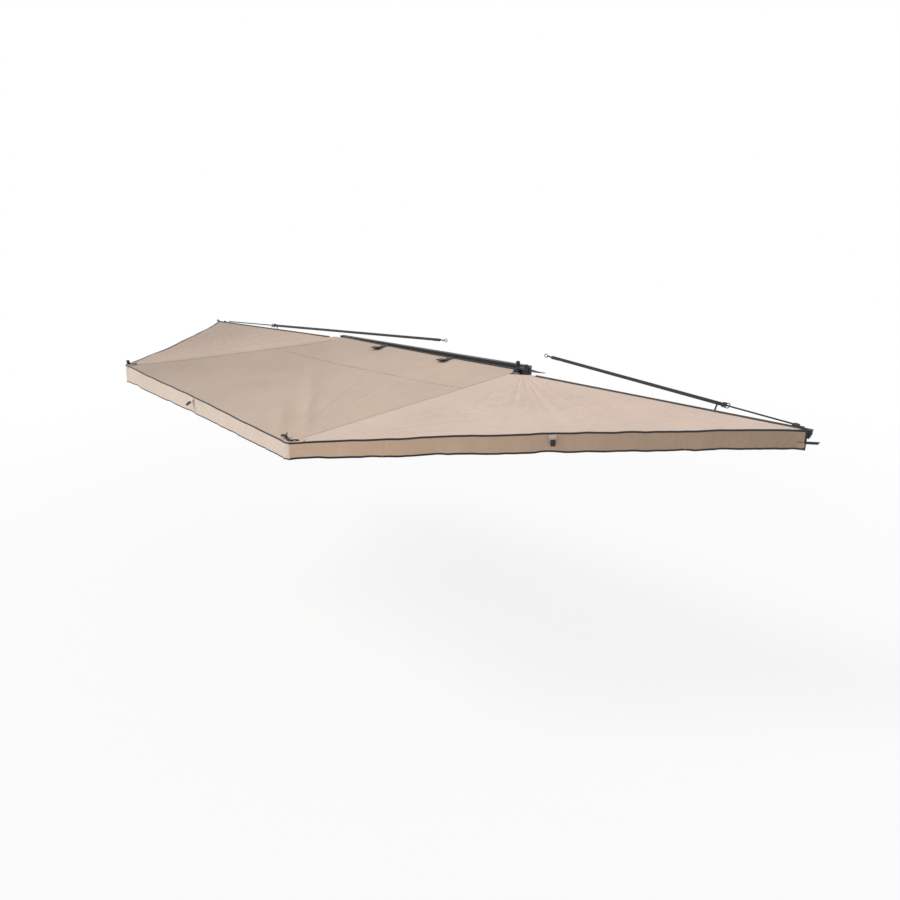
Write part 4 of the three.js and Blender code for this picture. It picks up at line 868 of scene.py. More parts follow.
FRONT_TOP = around(trimmed(FRONT_EDGE, 0.024, 0.024), at_end=NOSE["b"][0])
SIDE_TOP = np.concatenate([NOSE["b"], trimmed(SIDE_EDGE, 0.060, 0.060), NOSE["c"]])
REAR_TOP = around(trimmed(REAR_EDGE, 0.030, 0.010), at_start=NOSE["c"][2], at_end=NOSE["d"][0])
FRONT_SKIRT = skirt_grid(trimmed(FRONT_TOP, count=150), 0.130, 0.138, 0.006, 31)
SIDE_SKIRT = skirt_grid(trimmed(SIDE_TOP, count=361), 0.138, 0.100, 0.0032, 32)
REAR_SKIRT = skirt_grid(trimmed(REAR_TOP, count=260), 0.100, 0.118, 0.007, 33, 0.005, 0.0105)
print("last corner", REAR_EDGE[-1].round(3), REAR_SKIRT[0, -1].round(3))

# %% [markdown]
# Neighbouring skirts are sewn together at the corners. Each one was drawn by itself, so its end is eased over
# onto the side skirt's end. The side skirt is cut in two halves.

# %% Skirts
EASED_OVER, SIDE_SPLIT = 0.15, 180

def meeting(grid, column, other):
    """The grid eased over a hand's width, so that its end column is the same as another skirt's."""
    run = run_lengths(grid[0])
    near = run if column == 0 else run[-1] - run
    pull = np.clip(1 - near / EASED_OVER, 0, 1) ** 2
    return grid + pull[None, :, None] * (other - grid[:, column])[:, None]

FRONT_SKIRT = meeting(FRONT_SKIRT, -1, SIDE_SKIRT[:, 0])
REAR_SKIRT = meeting(REAR_SKIRT, 0, SIDE_SKIRT[:, -1])
SIDE_HALVES = (SIDE_SKIRT[:, :SIDE_SPLIT + 1], SIDE_SKIRT[:, SIDE_SPLIT:])

def add_skirt(name, grid, finish, cad_node, key):
    outward = np.cross(grid[1, 1] - grid[0, 1], grid[0, 2] - grid[0, 1])
    faced = grid if outward @ outward_of(grid[0])[1] > 0 else grid[:, ::-1]
    piece = cloth_sheet(name, faced, finish, SKIRT_THICKNESS)
    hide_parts(cad_node)
    fold_with(piece, key)
    declare_panel(piece, grid)

add_skirt("front_skirt_cloth", FRONT_SKIRT, CANVAS["side"], "front_skirt", "a")
add_skirt("side_skirt_front_half", SIDE_HALVES[0], CANVAS["side"], "side_skirt", "b")
add_skirt("side_skirt_rear_half", SIDE_HALVES[1], CANVAS["side"], "side_skirt", "c")
add_skirt("rear_skirt_cloth", REAR_SKIRT, CANVAS["rear_skirt"], "rear_skirt", "d")

# %% [markdown]
# ## Bindings
# Every raw edge of the canvas is wrapped in black webbing. Where a skirt hangs from the canopy the binding
# is a ledge that covers both edges, along the two outer arms it is a fat roll over a cord, and round a hem it
# is a plain U. Each one is a section led along the same points as the cloth, so it stays on the edge.

# %% Binding sections
UP = np.array((0.0, 0.0, 1.0))

def ledge(height, lip):
    """The section of a binding that covers a skirt's top from outside and the canopy's edge from above."""
    return [(0.0018, -height), (0.0018, 0.0018), (0.0008, 0.0030), (-lip, 0.0034), (-lip, 0.0026),
            (0.0002, 0.0020), (0.0008, 0.0008), (0.0008, -height)]

def hem_section(deep):
    return [(0.0014, deep), (0.0014, -0.0010), (0.0002, -0.0022), (-0.0012, -0.0022), (-0.0024, -0.0010),
            (-0.0024, deep), (-0.0016, deep), (-0.0016, 0.0002), (0.0006, 0.0002), (0.0006, deep)]

ROLL = [(0.0120, 0.0018), (0.0040, 0.0024), (0.0, 0.0036), (-0.0035, 0.0028), (-0.0050, 0.0),
        (-0.0035, -0.0030), (0.0, -0.0036), (0.0120, -0.0030), (0.0120, -0.0022), (0.0005, -0.0022),
        (0.0005, 0.0010), (0.0120, 0.0010)]
ROLL_SCALE, ROLL_LIFT, END_HEM = 1.45, 0.0016, 0.0100

def faced_out(points, into, outward):
    across = unit(np.cross(tangents(points), into))
    return across if (across * outward).sum() > 0 else -across

def arm_directions(key):
    start = on_arm(key, (0, 0, 0))[0]
    return [on_arm(key, step)[0] - start for step in ((1, 0, 0), (0, 1, 0), (0, 0, 1))]

def column_beside(grid, key):
    line = on_arm(key, (1.5, 0, 0))[0]
    return min((grid[:, 0], grid[:, -1]), key=lambda side: np.linalg.norm(side - line, axis=1).min())

print("ledge and hem sections have", len(ledge(0.007, 0.006)), "and", len(hem_section(END_HEM)), "corners")

# %% [markdown]
# Each skirt has its own depth of ledge, width of lip and depth of hem. They are kept in one table beside its
# grid and its arm, because the stitches need them again.

# %% Bindings
SKIRTS = (("front", FRONT_SKIRT, "a", 0.0070, 0.018, 0.0100),
          ("side_front", SIDE_HALVES[0], "b", 0.0045, 0.004, 0.0065),
          ("side_rear", SIDE_HALVES[1], "c", 0.0045, 0.004, 0.0065),
          ("rear", REAR_SKIRT, "d", 0.0068, 0.006, 0.0100))
for name, skirt, key, height, lip, deep in SKIRTS:
    top, hem = skirt[0], skirt[-1]
    fold_with(sweep(name + "_top_binding", top, outward_of(top), UP, ledge(height, lip), BINDING), key)
    into = unit(skirt[-4] - hem)
    outward = faced_out(hem, into, outward_of(hem))
    fold_with(sweep(name + "_hem_binding", hem, outward, into, hem_section(deep), BINDING), key)
for name, skirt, column, step, key in (("front_end_binding", FRONT_SKIRT, 0, 3, "a"),
                                       ("rear_end_binding", REAR_SKIRT, -1, -4, "d")):
    end, into = skirt[:, column], unit(skirt[:, step] - skirt[:, column])
    outward = faced_out(end, into, outward_of(skirt[0])[column])
    fold_with(sweep(name, end, outward, into, hem_section(END_HEM), BINDING), key)
ARM_EDGES = {}
for key, grid, side, bare in (("a", FRONT, 1, 0.075), ("d", REAR, -1, 0.030)):
    along, across, up = arm_directions(key)
    ARM_EDGES[key] = trimmed(column_beside(grid, key), bare, 0.0)
    section = [(out * ROLL_SCALE, rise * ROLL_SCALE + ROLL_LIFT) for out, rise in ROLL]
    edge = sweep("arm_" + key + "_edge_binding", ARM_EDGES[key], across * side, up, section, BINDING)
    fold_with(edge, key)
print("bindings on", len(SKIRTS), "skirts and", len(ARM_EDGES), "arm edges")

# %% [markdown]
# The two outer corners sit over the noses of arms B and C. A doubled patch of canvas covers each nose, so
# no metal rubs through. A patch stays flat on its arm's cap, so it is a plain slab that rides on that arm.

# %% Patches
CORNERS = {
    "b": [(1.847, 0.062), (1.8475, 0.013), (1.8475, -0.013), (1.8372, -0.0275), (1.806, -0.070),
          (1.780, -0.045), (1.775, 0.045)],
    "c": [(2.0455, -0.062), (2.0505, -0.024), (2.0460, 0.009), (2.0415, 0.0160), (1.980, 0.066),
          (1.950, 0.040), (1.965, -0.045)],
}
PATCH_LOW, PATCH_HIGH = 0.0050, 0.0060
for key, outline in CORNERS.items():
    patch = slab("corner_patch_" + key, outline, PATCH_LOW, PATCH_HIGH, CANVAS["main"], onto(key))
    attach(patch, "arm_" + key)
print("patches on", list(CORNERS))

# %% [markdown]
# Seams join the panels and the lengths of skirt: a folded strip of the same cloth lies over each one. A thin
# ribbon along the line is enough, and keeps the sheets below it plain.

# %% Seams
SEAM_WIDTH, SEAM_THICKNESS, SEAM_LIFT = 0.014, 0.0008, 0.0007
SKIRT_SEAM_SHARES, SKIRT_SEAM_WIDTH, SKIRT_SEAM_THICKNESS = (0.18, 0.773), 0.012, 0.0009

def row_at(grid, outboard):
    """The line across a panel where its points pass a given distance outboard."""
    return np.array([[np.interp(outboard, column[:, 1], column[:, k]) for k in range(3)]
                     for column in np.swapaxes(grid, 0, 1)])

felled = row_at(MAIN[:, np.argsort(MAIN[40, :, 0])], FELLED_SEAM_Y)
felled = felled[(felled[:, 0] > -0.93) & (felled[:, 0] < 1.06)]
SEAMS = [("ridge_seam", trimmed(column_beside(MAIN, "b")[8:], 0.05, 0.08), "b"),
         ("rear_seam", trimmed(column_beside(MAIN, "c")[8:], 0.02, 0.08), "c"),
         ("felled_seam_front", felled[felled[:, 0] >= 0.30], "b"),
         ("felled_seam_rear", felled[felled[:, 0] <= 0.31], "c")]
for name, line, key in SEAMS:
    raised_line = line + UP * SEAM_LIFT
    across = np.cross(tangents(raised_line), UP)
    fold_with(ribbon(name, raised_line, across, SEAM_WIDTH, SEAM_THICKNESS, CANVAS["main"]), key)
SKIRT_SEAMS = []
for number, share in enumerate(SKIRT_SEAM_SHARES):
    column = int(share * (REAR_SKIRT.shape[1] - 1))
    line, outward = REAR_SKIRT[1:-1, column], outward_of(REAR_SKIRT[0])[column]
    across = unit(np.cross(UP, outward))
    SKIRT_SEAMS.append((line, outward, across))
    strip = ribbon(f"rear_skirt_seam_{number + 1}", line + outward * 0.0008, across, SKIRT_SEAM_WIDTH,
                   SKIRT_SEAM_THICKNESS, CANVAS["rear_skirt"])
    fold_with(strip, "d")
print("seams", [name for name, _, _ in SEAMS])

# %% [markdown]
# Thousands of stitches hold it all together, two rows to each binding and seam. A geometry tree makes them:
# it turns each row into a curve, cuts it at an even pitch, sets one small stitch on every point along the
# thread's direction and gives them all the thread's finish. The result is kept as plain mesh.

# %% Stitch tree
UNEVEN_LOW, UNEVEN_HIGH, UNEVEN_SEED = 0.82, 1.08, 7

def stitch_tree():
    tree = bpy.data.node_groups.new("rows_of_stitches", "GeometryNodeTree")
    face = tree.interface
    face.new_socket(name="Rows", in_out="INPUT", socket_type="NodeSocketGeometry")
    kinds = {"Pitch": "Float", "Length": "Float", "Thickness": "Float", "Thread": "Material"}
    sockets = {name: face.new_socket(name=name, in_out="INPUT", socket_type="NodeSocket" + kind).identifier
               for name, kind in kinds.items()}
    face.new_socket(name="Stitches", in_out="OUTPUT", socket_type="NodeSocketGeometry")
    given = tree.nodes.new("NodeGroupInput")
    made = tree.nodes.new("NodeGroupOutput")
    curve = node(tree, "GeometryNodeMeshToCurve", {"Mesh": given.outputs["Rows"]})
    even = node(tree, "GeometryNodeResampleCurve", {
        "Curve": curve.outputs["Curve"], "Length": given.outputs["Pitch"]}, mode="LENGTH")
    direction = node(tree, "FunctionNodeAlignRotationToVector",
                     {"Vector": tree.nodes.new("GeometryNodeInputTangent").outputs[0]}, axis="Z")
    chance = {"Seed": UNEVEN_SEED, 2: UNEVEN_LOW, 3: UNEVEN_HIGH}
    uneven = node(tree, "FunctionNodeRandomValue", chance, data_type="FLOAT")
    longer = arithmetic(tree, "MULTIPLY", given.outputs["Length"], uneven.outputs[1])
    size = node(tree, "ShaderNodeCombineXYZ", {
        "X": given.outputs["Thickness"], "Y": given.outputs["Thickness"], "Z": longer})
    bead = node(tree, "GeometryNodeMeshIcoSphere", {"Radius": 0.5, "Subdivisions": 1})
    placed = node(tree, "GeometryNodeInstanceOnPoints", {
        "Points": even.outputs["Curve"], "Instance": bead.outputs["Mesh"],
        "Rotation": direction.outputs["Rotation"], "Scale": size.outputs["Vector"]})
    real = node(tree, "GeometryNodeRealizeInstances", {"Geometry": placed.outputs["Instances"]})
    dyed = node(tree, "GeometryNodeSetMaterial", {"Geometry": real.outputs["Geometry"],
                                                  "Material": given.outputs["Thread"]})
    tree.links.new(dyed.outputs["Geometry"], made.inputs["Stitches"])
    return tree, sockets

STITCHES, STITCH_SOCKETS = stitch_tree()
print("stitch tree has", len(STITCHES.nodes), "nodes")

# %% [markdown]
# The rows themselves are the bindings' own lines, moved a few millimetres onto each binding's face. The rows
# are gathered arm by arm. A row is plain points and edges until the geometry tree has run.

# %% Rows of stitches
LEDGE_ROW, LIP_ROW, HEM_ROW, ROLL_ROW = (0.0019, 0.0016), (0.0014, 0.0035), (0.0015, 0.0018), (0.0150, 0.0046)
SEAM_ROW, SEAM_ROW_UP, SKIRT_ROW, SKIRT_ROW_OUT = 0.0052, 0.0012, 0.0042, 0.0014
BEAD_FACES = 20

def stitched(name, rows, thread, pitch=0.0055, length=0.0036, thickness=0.0008):
    """One mesh of stitches along several rows of points."""
    points, edges = [], []
    for row in rows:
        edges += [(len(points) + i, len(points) + i + 1) for i in range(len(row) - 1)]
        points += [tuple(point) for point in row]
    mesh = bpy.data.meshes.new(name)
    mesh.from_pydata(points, edges, [])
    piece = bpy.data.objects.new(name, mesh)
    bpy.context.scene.collection.objects.link(piece)
    modifier = piece.modifiers.new("stitches", "NODES")
    modifier.node_group = STITCHES
    for socket, value in (("Pitch", pitch), ("Length", length), ("Thickness", thickness), ("Thread", thread)):
        modifier[STITCH_SOCKETS[socket]] = value
    applied(piece)
    piece.data.name = name
    return piece

def shifted(points, first, a, second, b):
    return points + np.broadcast_to(first, points.shape) * a + np.broadcast_to(second, points.shape) * b

STITCH_ROWS = {key: [] for key in ARMS}
SEAM_ROWS = {key: [] for key in ARMS}
for name, skirt, key, height, lip, deep in SKIRTS:
    top, hem = skirt[0], skirt[-1]
    outward, into = outward_of(top), unit(skirt[-4] - hem)
    STITCH_ROWS[key] += [
        shifted(top, outward, LEDGE_ROW[0], UP, LEDGE_ROW[1] - height),
        shifted(top, outward, LIP_ROW[0] - lip, UP, LIP_ROW[1]),
        shifted(hem, faced_out(hem, into, outward), HEM_ROW[0], into, deep - HEM_ROW[1])]
for key, side in (("a", 1), ("d", -1)):
    along, across, up = arm_directions(key)
    STITCH_ROWS[key].append(shifted(ARM_EDGES[key], across * side, ROLL_ROW[0], up, ROLL_ROW[1]))
for name, line, key in SEAMS:
    across = unit(np.cross(tangents(line), UP))
    SEAM_ROWS[key] += [shifted(line, across, s, UP, SEAM_ROW_UP) for s in (-SEAM_ROW, SEAM_ROW)]
for line, outward, across in SKIRT_SEAMS:
    SEAM_ROWS["d"] += [shifted(line, across, s, outward, SKIRT_ROW_OUT) for s in (-SKIRT_ROW, SKIRT_ROW)]
for key in ARMS:
    rows = stitched("binding_stitches_" + key, STITCH_ROWS[key], THREAD)
    print("stitches beside arm", key, len(rows.data.polygons) // BEAD_FACES)
    fold_with(rows, key)
    if SEAM_ROWS[key]:
        fold_with(stitched("seam_stitches_" + key, SEAM_ROWS[key], SEAM_THREAD), key)

# %% [markdown]
# ## Straps and buckles
# A ladder buckle is an open frame with a cross bar in its middle, over which the strap turns back. A cast
# frame could be cut from one block, but two rails and three bars swept with one section give the same
# rounded edges. It is built flat in a small frame of its own, and its points are then carried to the strap.

# %% Ladder buckle
BAR_SECTION = mirrored([(-0.5, 0.32), (-0.32, 0.5), (0.32, 0.5), (0.5, 0.32)])
BAR_SHARES, BAR_WIDTH, FRAME_BULGE = (0.0, 0.42, 1.0), 0.0045, 0.0008

def buckle_frame(name, place, length, width, thickness, finish):
    """An open frame: two side rails joined by cross bars at given shares of its length."""
    half = width / 2 - BAR_WIDTH / 2
    rail_section = [(a * BAR_WIDTH, b * thickness) for a, b in BAR_SECTION]
    pieces = []
    for side in (-half, half):
        bulge = side + math.copysign(FRAME_BULGE, side)
        run = np.array([(0.0, side, 0), (length * 0.3, bulge, 0), (length, side, 0)])
        pieces.append(sweep(name + "_rail", run, (0, 1, 0), (0, 0, 1), rail_section, finish))
    for share in BAR_SHARES:
        x, depth = length * share, thickness * (0.95 if share in (0.0, 1.0) else 0.7)
        run = np.array([(x, -half, 0), (x, 0, thickness * 0.08), (x, half, 0)])
        section = [(a * BAR_WIDTH, b * depth) for a, b in BAR_SECTION]
        pieces.append(sweep(name + "_bar", run, (1, 0, 0), (0, 0, 1), section, finish))
    ladder = joined(name, pieces)
    for corner in ladder.data.vertices:
        corner.co = Vector(place(np.array(corner.co))[0])
    return ladder

print("ladder buckle has", len(BAR_SHARES), "bars")

# %% [markdown]
# A tension strap holds each long wing out against the pull of the cloth. It starts as a narrow tape knotted
# round the arm, passes a ladder buckle, hangs a short tail there and goes on as wide webbing to a wire
# ring. All of it is taut and follows one straight line, so ribbons along that line are enough. When its
# arm folds back a real strap goes slack, but here the strap keeps its shape.

# %% Strap lines and webbing
RINGS = {"a": (-0.040, -0.1467, 0.131), "d": (-1.058, -0.1467, 0.131)}
STRAP_STARTS = {"a": (1.663, -0.008, 0.016), "d": (1.933, 0.008, 0.016)}
BUCKLES_AT, BUCKLE_SIZE = {"a": 0.652, "d": 0.438}, (0.046, 0.036, 0.007)
TWIST = math.radians(50)
TAPE_WIDTH, LINK_WIDTH, STRAP_WIDTH = 0.011, 0.012, 0.025
RING_GAP, KNOT_RADIUS, SHRUNK_SHARE = 0.052, 0.0028, 0.05

def strap_line(key):
    """Where a strap starts and ends, and the directions along, across and up from it, twisted as it lies."""
    start, ring = on_arm(key, STRAP_STARTS[key])[0], np.array(RINGS[key])
    run = unit(ring - start)
    flat_across = unit(np.cross(run, UP))
    flat_across = -flat_across if flat_across[1] < 0 else flat_across
    flat_up = np.cross(flat_across, run)
    flat_up = -flat_up if flat_up[2] < 0 else flat_up
    across = flat_across * math.cos(TWIST) - flat_up * math.sin(TWIST)
    up = flat_up * math.cos(TWIST) + flat_across * math.sin(TWIST)
    return start, ring, run, across, up

def strap_webbing(key, side, buckle, length):
    """The narrow tape with its knot, the wide webbing with its link and doubled end, and the short tail."""
    start, ring, run, across, up = strap_line(key)
    far = float(np.linalg.norm(ring - start)) - RING_GAP
    def stretch(begin, reach, count, lift):
        return start + run * (begin + np.linspace(0, 1, count)[:, None] * reach) + up * lift
    anchor = on_arm(key, np.array(STRAP_STARTS[key]) - (0, 0, 0.0135))[0]
    rising = [anchor, anchor + (start - anchor) * 0.6]
    tape_run = np.concatenate([rising, stretch(0.006, buckle + 0.012, 24, 0)])
    turns = np.linspace(0, 2 * math.pi, 20)[:-1]
    loop = [anchor + across * (0.0052 * math.cos(t)) + UP * (0.004 + 0.0045 * math.sin(t)) for t in turns]
    from_bar = buckle + length * 0.42
    hang = start + run * (buckle + length + 0.028) + up * 0.0030
    fall = [hang - run * 0.026, hang, hang + across * 0.013 + run * 0.003,
            hang + across * 0.017 - UP * 0.012 + run * 0.006,
            hang + across * 0.018 - UP * 0.052 + run * 0.016]
    fall = trimmed(np.array(fall), count=16)
    fall_across = np.cross(tangents(fall), across) + run * 0.6
    wide, link = stretch(from_bar, far - from_bar, 24, 0.0006), stretch(far - 0.010, 0.052, 8, 0)
    doubled = stretch(far - 0.075, 0.072, 10, -0.0024)
    return [
        ribbon(side + "_tape", tape_run, across, TAPE_WIDTH, 0.0016, WEBBING),
        rod(side + "_knot", loop + [loop[0]], KNOT_RADIUS, WEBBING, 8, run),
        ribbon(side + "_webbing", wide, across, STRAP_WIDTH, 0.0020, WEBBING),
        ribbon(side + "_link", link, across, LINK_WIDTH, 0.0018, WEBBING),
        ribbon(side + "_doubled_end", doubled, across, STRAP_WIDTH, 0.0018, WEBBING),
        ribbon(side + "_tail", fall, fall_across, TAPE_WIDTH, 0.0016, WEBBING)]

leans = [round(math.degrees(math.asin(strap_line(key)[2][2])), 1) for key in STRAP_STARTS]
print("straps rise", leans, "degrees towards their rings")

# %% [markdown]
# With the webbing drawn, a strap is put together: the webbing and the buckle take the places of two plain
# solids, and a box of stitches closes the doubled end. All three ride on the backbone.

# %% Straps put together
def tension_strap(key):
    side = "front" if key == "a" else "rear"
    start, ring, run, across, up = strap_line(key)
    whole = float(np.linalg.norm(ring - start))
    buckle, (length, width, thickness) = BUCKLES_AT[key], BUCKLE_SIZE
    strap = joined(side + "_tension_webbing", strap_webbing(key, side, buckle, length))
    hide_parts(side + "_tension_strap")
    frame_at = framed(start + run * buckle + up * 0.0005, run, up)
    ladder = buckle_frame(side + "_ladder_buckle", frame_at, length, width, thickness, KNOB_FINISH)
    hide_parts(side + "_strap_buckle")
    sewn = start + run * (whole - RING_GAP - 0.070 + np.linspace(0, 1, 3)[:, None] * 0.062) + up * 0.0017
    rows = [sewn + across * w for w in (-0.0095, 0.0095)]
    box = stitched(side + "_strap_stitches", rows, THREAD, 0.005, 0.0032, 0.0008)
    for piece in (strap, ladder, box):
        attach(piece, "backbone")
        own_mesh(piece)
    print(side, "strap", round(whole, 3), "m from arm to ring")

tension_strap("a")
tension_strap("d")

# %% [markdown]
# Side-release buckles are moulded in two halves: a body with two windows, and a clip with two prongs. Every
# outline is the same on both sides of its middle, so only one half is written. The outlines are thick slabs
# with a small bevel, which suits a moulding better than a box does.

# %% Side-release buckle
def side_release(name, place_at, width, scale):
    """The two halves of a side-release buckle, clipped together, pointing along x."""
    half = width / 2
    place = lambda points: place_at(np.asarray(points) * (scale, 1.0, scale))
    def moulded(part, outline, depth, round_off):
        return slab(name + part, outline, -depth, depth, PLASTIC_FINISH, place, round_off)
    body = [(0, half * 0.86), (0.003, half), (0.026, half), (0.030, half * 0.7)]
    bar = [(-0.012, half * 0.9), (-0.008, half * 0.9)]
    clip = [(0.030, half * 0.55), (0.036, half * 0.85), (0.050, half * 0.85)]
    parts = [moulded("_body", mirrored(body), 0.0038, 0.0012), moulded("_bar", mirrored(bar), 0.003, 0.001)]
    for side in (-1, 1):
        rail = [(-0.012, side * half * 0.9), (0.004, side * half * 0.96), (0.004, side * half * 0.74),
                (-0.012, side * half * 0.68)]
        prong = [(0.010, side * (half + 0.0022)), (0.024, side * (half + 0.0010)), (0.024, side * half * 0.8),
                 (0.010, side * half * 0.8)]
        parts.append(moulded("_rail", rail[::side], 0.003, 0.0008))
        parts.append(moulded("_prong", prong[::side], 0.0022, 0.0008))
    return joined(name, parts + [moulded("_clip", mirrored(clip), 0.0030, 0.001)])

print("side-release buckle ready")

# %% [markdown]
# Two closure straps lie on the canopy beside the rail. When the awning is stowed they wrap the bundle, and
# the buckles join them to loops on the other side. A strap has to lie on uneven cloth without sinking into
# it, so its height is read from the main panel's points below it, and evened out along its length. A band
# of webbing along the rail covers the seam where the canopy leaves the groove.

# %% Closure straps
CLOSURES = (("front", 0.420, "b"), ("rear", -0.320, "c"))
CLOSURE_WIDTH, CLOSURE_THICKNESS, CLOSURE_LIFT = 0.050, 0.0022, 0.0042
RELEASE_WIDTH, RELEASE_SCALE, RELEASE_TILT = 0.066, 1.15, 0.16
BAND_WIDTH, BAND_THICKNESS = 0.028, 0.0014

def canopy_height(x, y):
    """The height of the main panel's upper face at a place in plan."""
    flat = MAIN.reshape(-1, 3)
    near = np.argsort(((flat[:, :2] - (x, y)) ** 2).sum(1))[:6]
    return float(flat[near, 2].max())

def highest(places):
    return max(canopy_height(x, y) for x, y in places)

band = np.array([
    (x, RAIL_OUTER_Y + 0.0160, highest((x, RAIL_OUTER_Y + s) for s in (0.004, 0.016, 0.028)) + 0.0014)
    for x in np.linspace(0.978, -0.960, 150)])
rise = canopy_height(0, RAIL_OUTER_Y + 0.030) - canopy_height(0, RAIL_OUTER_Y + 0.004)
rail_edge = ribbon("rail_edge_webbing", band, unit((0, 0.026, rise)), BAND_WIDTH, BAND_THICKNESS, WEBBING)
fold_with(rail_edge, "b")
for place_name, x, key in CLOSURES:
    ys = np.linspace(RAIL_OUTER_Y + 0.0012, 0.262, 22)
    heights = np.array([highest((x + s, y) for s in (-0.012, 0, 0.012)) for y in ys])
    evened = np.convolve(np.pad(heights, 2, mode="edge"), np.ones(5) / 5, mode="valid")
    heights = np.maximum(heights, evened) + CLOSURE_LIFT
    points = np.stack([np.full_like(ys, x) + 0.012 * (ys - 0.085) / 0.17, ys, heights], -1)
    name = "closure_webbing_" + place_name
    strap = ribbon(name, points[:15], (1, 0, 0), CLOSURE_WIDTH, CLOSURE_THICKNESS, WEBBING)
    end = ribbon(name + "_end", points[13:19] + UP * 0.0024, (1, 0, 0), 0.048, 0.0018, WEBBING)
    strap = joined(name, [strap, end])
    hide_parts("closure_strap_" + place_name)
    place = framed(points[14] + UP * 0.0075, unit(points[17] - points[14]) + UP * RELEASE_TILT, UP)
    buckle = side_release("closure_buckle_" + place_name, place, RELEASE_WIDTH, RELEASE_SCALE)
    fold_with(strap, key)
    fold_with(buckle, key)
    print("closure strap at", x, "reaches", round(float(points[-1, 1]), 3))

# %% [markdown]
# ## Skirt tabs
# Halfway along the side and rear skirts a small tan flap is sewn under the binding, with half of a buckle
# on it, so that a wall can be clipped on. The flap stands off the skirt and the buckle hangs from it. The
# flap is a loft of thin rings, because it both bulges and narrows, which a flat ribbon can't do.

# %% Skirt tabs
TAB_CLOTH = {"b": CANVAS["side"], "d": CANVAS["front"]}
FLAP_RING = [(-0.5, 0.0), (-0.46, 0.0011), (-0.2, 0.0020), (0.2, 0.0020), (0.46, 0.0011), (0.5, 0.0),
             (0.46, -0.0007), (-0.46, -0.0007)]
FLAP_TOP, FLAP_LOW, SOCKET_HALF, SOCKET_DEEP, RIB_PITCH = 0.054, 0.034, 0.0150, 0.0036, 0.006

def flap(name, base, along, outward, drop, stand, finish):
    """A tapered double layer of cloth that bulges outward as it hangs."""
    shares = np.linspace(0, 1, 9)
    middle = [base + outward * (stand * math.sin(s * math.pi * 0.62)) - UP * drop * s for s in shares]
    widths = FLAP_TOP + (FLAP_LOW - FLAP_TOP) * shares
    rings = [[point + along * a * width + outward * b for a, b in FLAP_RING]
             for point, width in zip(middle, widths)]
    return loft(name, rings, finish, 60), middle[-1]

def skirt_tab(name, skirt, column, key, stand, drop, outward_lean):
    out_here, along = outward_of(skirt[0])[column], tangents(skirt[0])[column]
    base = skirt[0, column] + out_here * 0.0032 - UP * 0.0080
    cloth, low = flap(name + "_flap", base, along, out_here, drop, stand, TAB_CLOTH[key])
    down, front = unit(out_here * outward_lean - UP), unit(out_here + UP * outward_lean)
    place = framed(low - down * 0.004 + front * 0.0045, down, front)
    half, deep = SOCKET_HALF, SOCKET_DEEP
    socket = mirrored([(0, half * 0.9), (0.004, half), (0.034, half), (0.040, half * 0.75)])
    parts = [slab(name + "_socket", socket, -deep, deep, PLASTIC_FINISH, place, 0.0014)]
    for x in (0.012 + k * RIB_PITCH for k in range(3)):
        rib = mirrored([(x, half * 0.6), (x + RIB_PITCH / 2, half * 0.6)])
        parts.append(slab(name + "_rib", rib, deep - 0.0002, deep + 0.0008, PLASTIC_FINISH, place, 0.0004))
    fold_with(joined(name + "_buckle", parts), key)
    fold_with(cloth, key)

side_column = int(np.abs(SIDE_HALVES[0][0, :, 0] - 0.385).argmin())
skirt_tab("side_tab", SIDE_HALVES[0], side_column, "b", 0.018, 0.030, 1.6)
rear_column = int(np.abs(run_lengths(REAR_SKIRT[0]) / run_lengths(REAR_SKIRT[0])[-1] - 0.508).argmin())
skirt_tab("rear_tab", REAR_SKIRT, rear_column, "d", 0.010, 0.032, 0.10)
print("tabs at", SIDE_HALVES[0][0, side_column].round(3), REAR_SKIRT[0, rear_column].round(3))

# %% [markdown]
# ## Corners
# Webbing tails are sewn to each outer corner for guy ropes. Two lie on the canopy at corner C, one with a
# small ring, a loop stands up at corner B, and a short one sticks out over the tip of arm A. Each is a
# ribbon through a few steps from its arm, and rides stiffly with that arm, since it is sewn close to it.

# %% Webbing tails
def tail(name, key, start, steps, width, lean):
    """A strip of webbing from a place on an arm, through steps given in the common frame."""
    points = trimmed(on_arm(key, start)[0] + np.array(steps), count=14)
    across = unit(np.cross(tangents(points), UP)) * math.cos(lean) + UP * math.sin(lean)
    return ribbon(name, points, across, width, 0.0018, BLACK_TAPE)

def fastened(name, pieces, key):
    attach(joined(name, pieces), "arm_" + key)

def ring_of(name, centre, first, second, radius, wire, finish):
    turns = np.linspace(0, 2 * math.pi, 25)
    points = np.array([centre + first * radius * math.cos(t) + second * radius * math.sin(t) for t in turns])
    return rod(name, points, wire, finish, 8, np.cross(first, second))

FORWARD_OUT, FORWARD_IN = np.array((0.769, 0.639, 0.0)), np.array((0.639, -0.769, 0.0))
TOWARDS_D = np.array((-0.755, -0.655, 0.0))
LEFT_TAIL = (([(0, 0, 0), (0.028, -0.006, 0.006), (0.052, -0.016, 0.012)], 0.018, 0.4),
             ([(0.042, -0.012, 0.012), (0.058, -0.024, 0.022), (0.066, -0.036, 0.028)], 0.014, 0.7),
             ([(0.042, -0.012, 0.012), (0.062, -0.010, 0.017), (0.086, -0.008, 0.016)], 0.020, 0.5))
left_tail = [tail("tail_part", "c", (2.026, -0.006, 0.0095), *shape) for shape in LEFT_TAIL]
fastened("corner_c_left_tail", left_tail, "c")
steps = [0 * UP, TOWARDS_D * 0.020 + UP * 0.004, TOWARDS_D * 0.052 + UP * 0.003]
right_tail = tail("tail_run", "c", (2.024, -0.004, 0.0095), steps, 0.018, 0.8)
ring_centre = on_arm("c", (2.024, -0.004, 0.0160))[0] + TOWARDS_D * 0.027
ring_rise = unit((0.35, -0.35, 0.85))
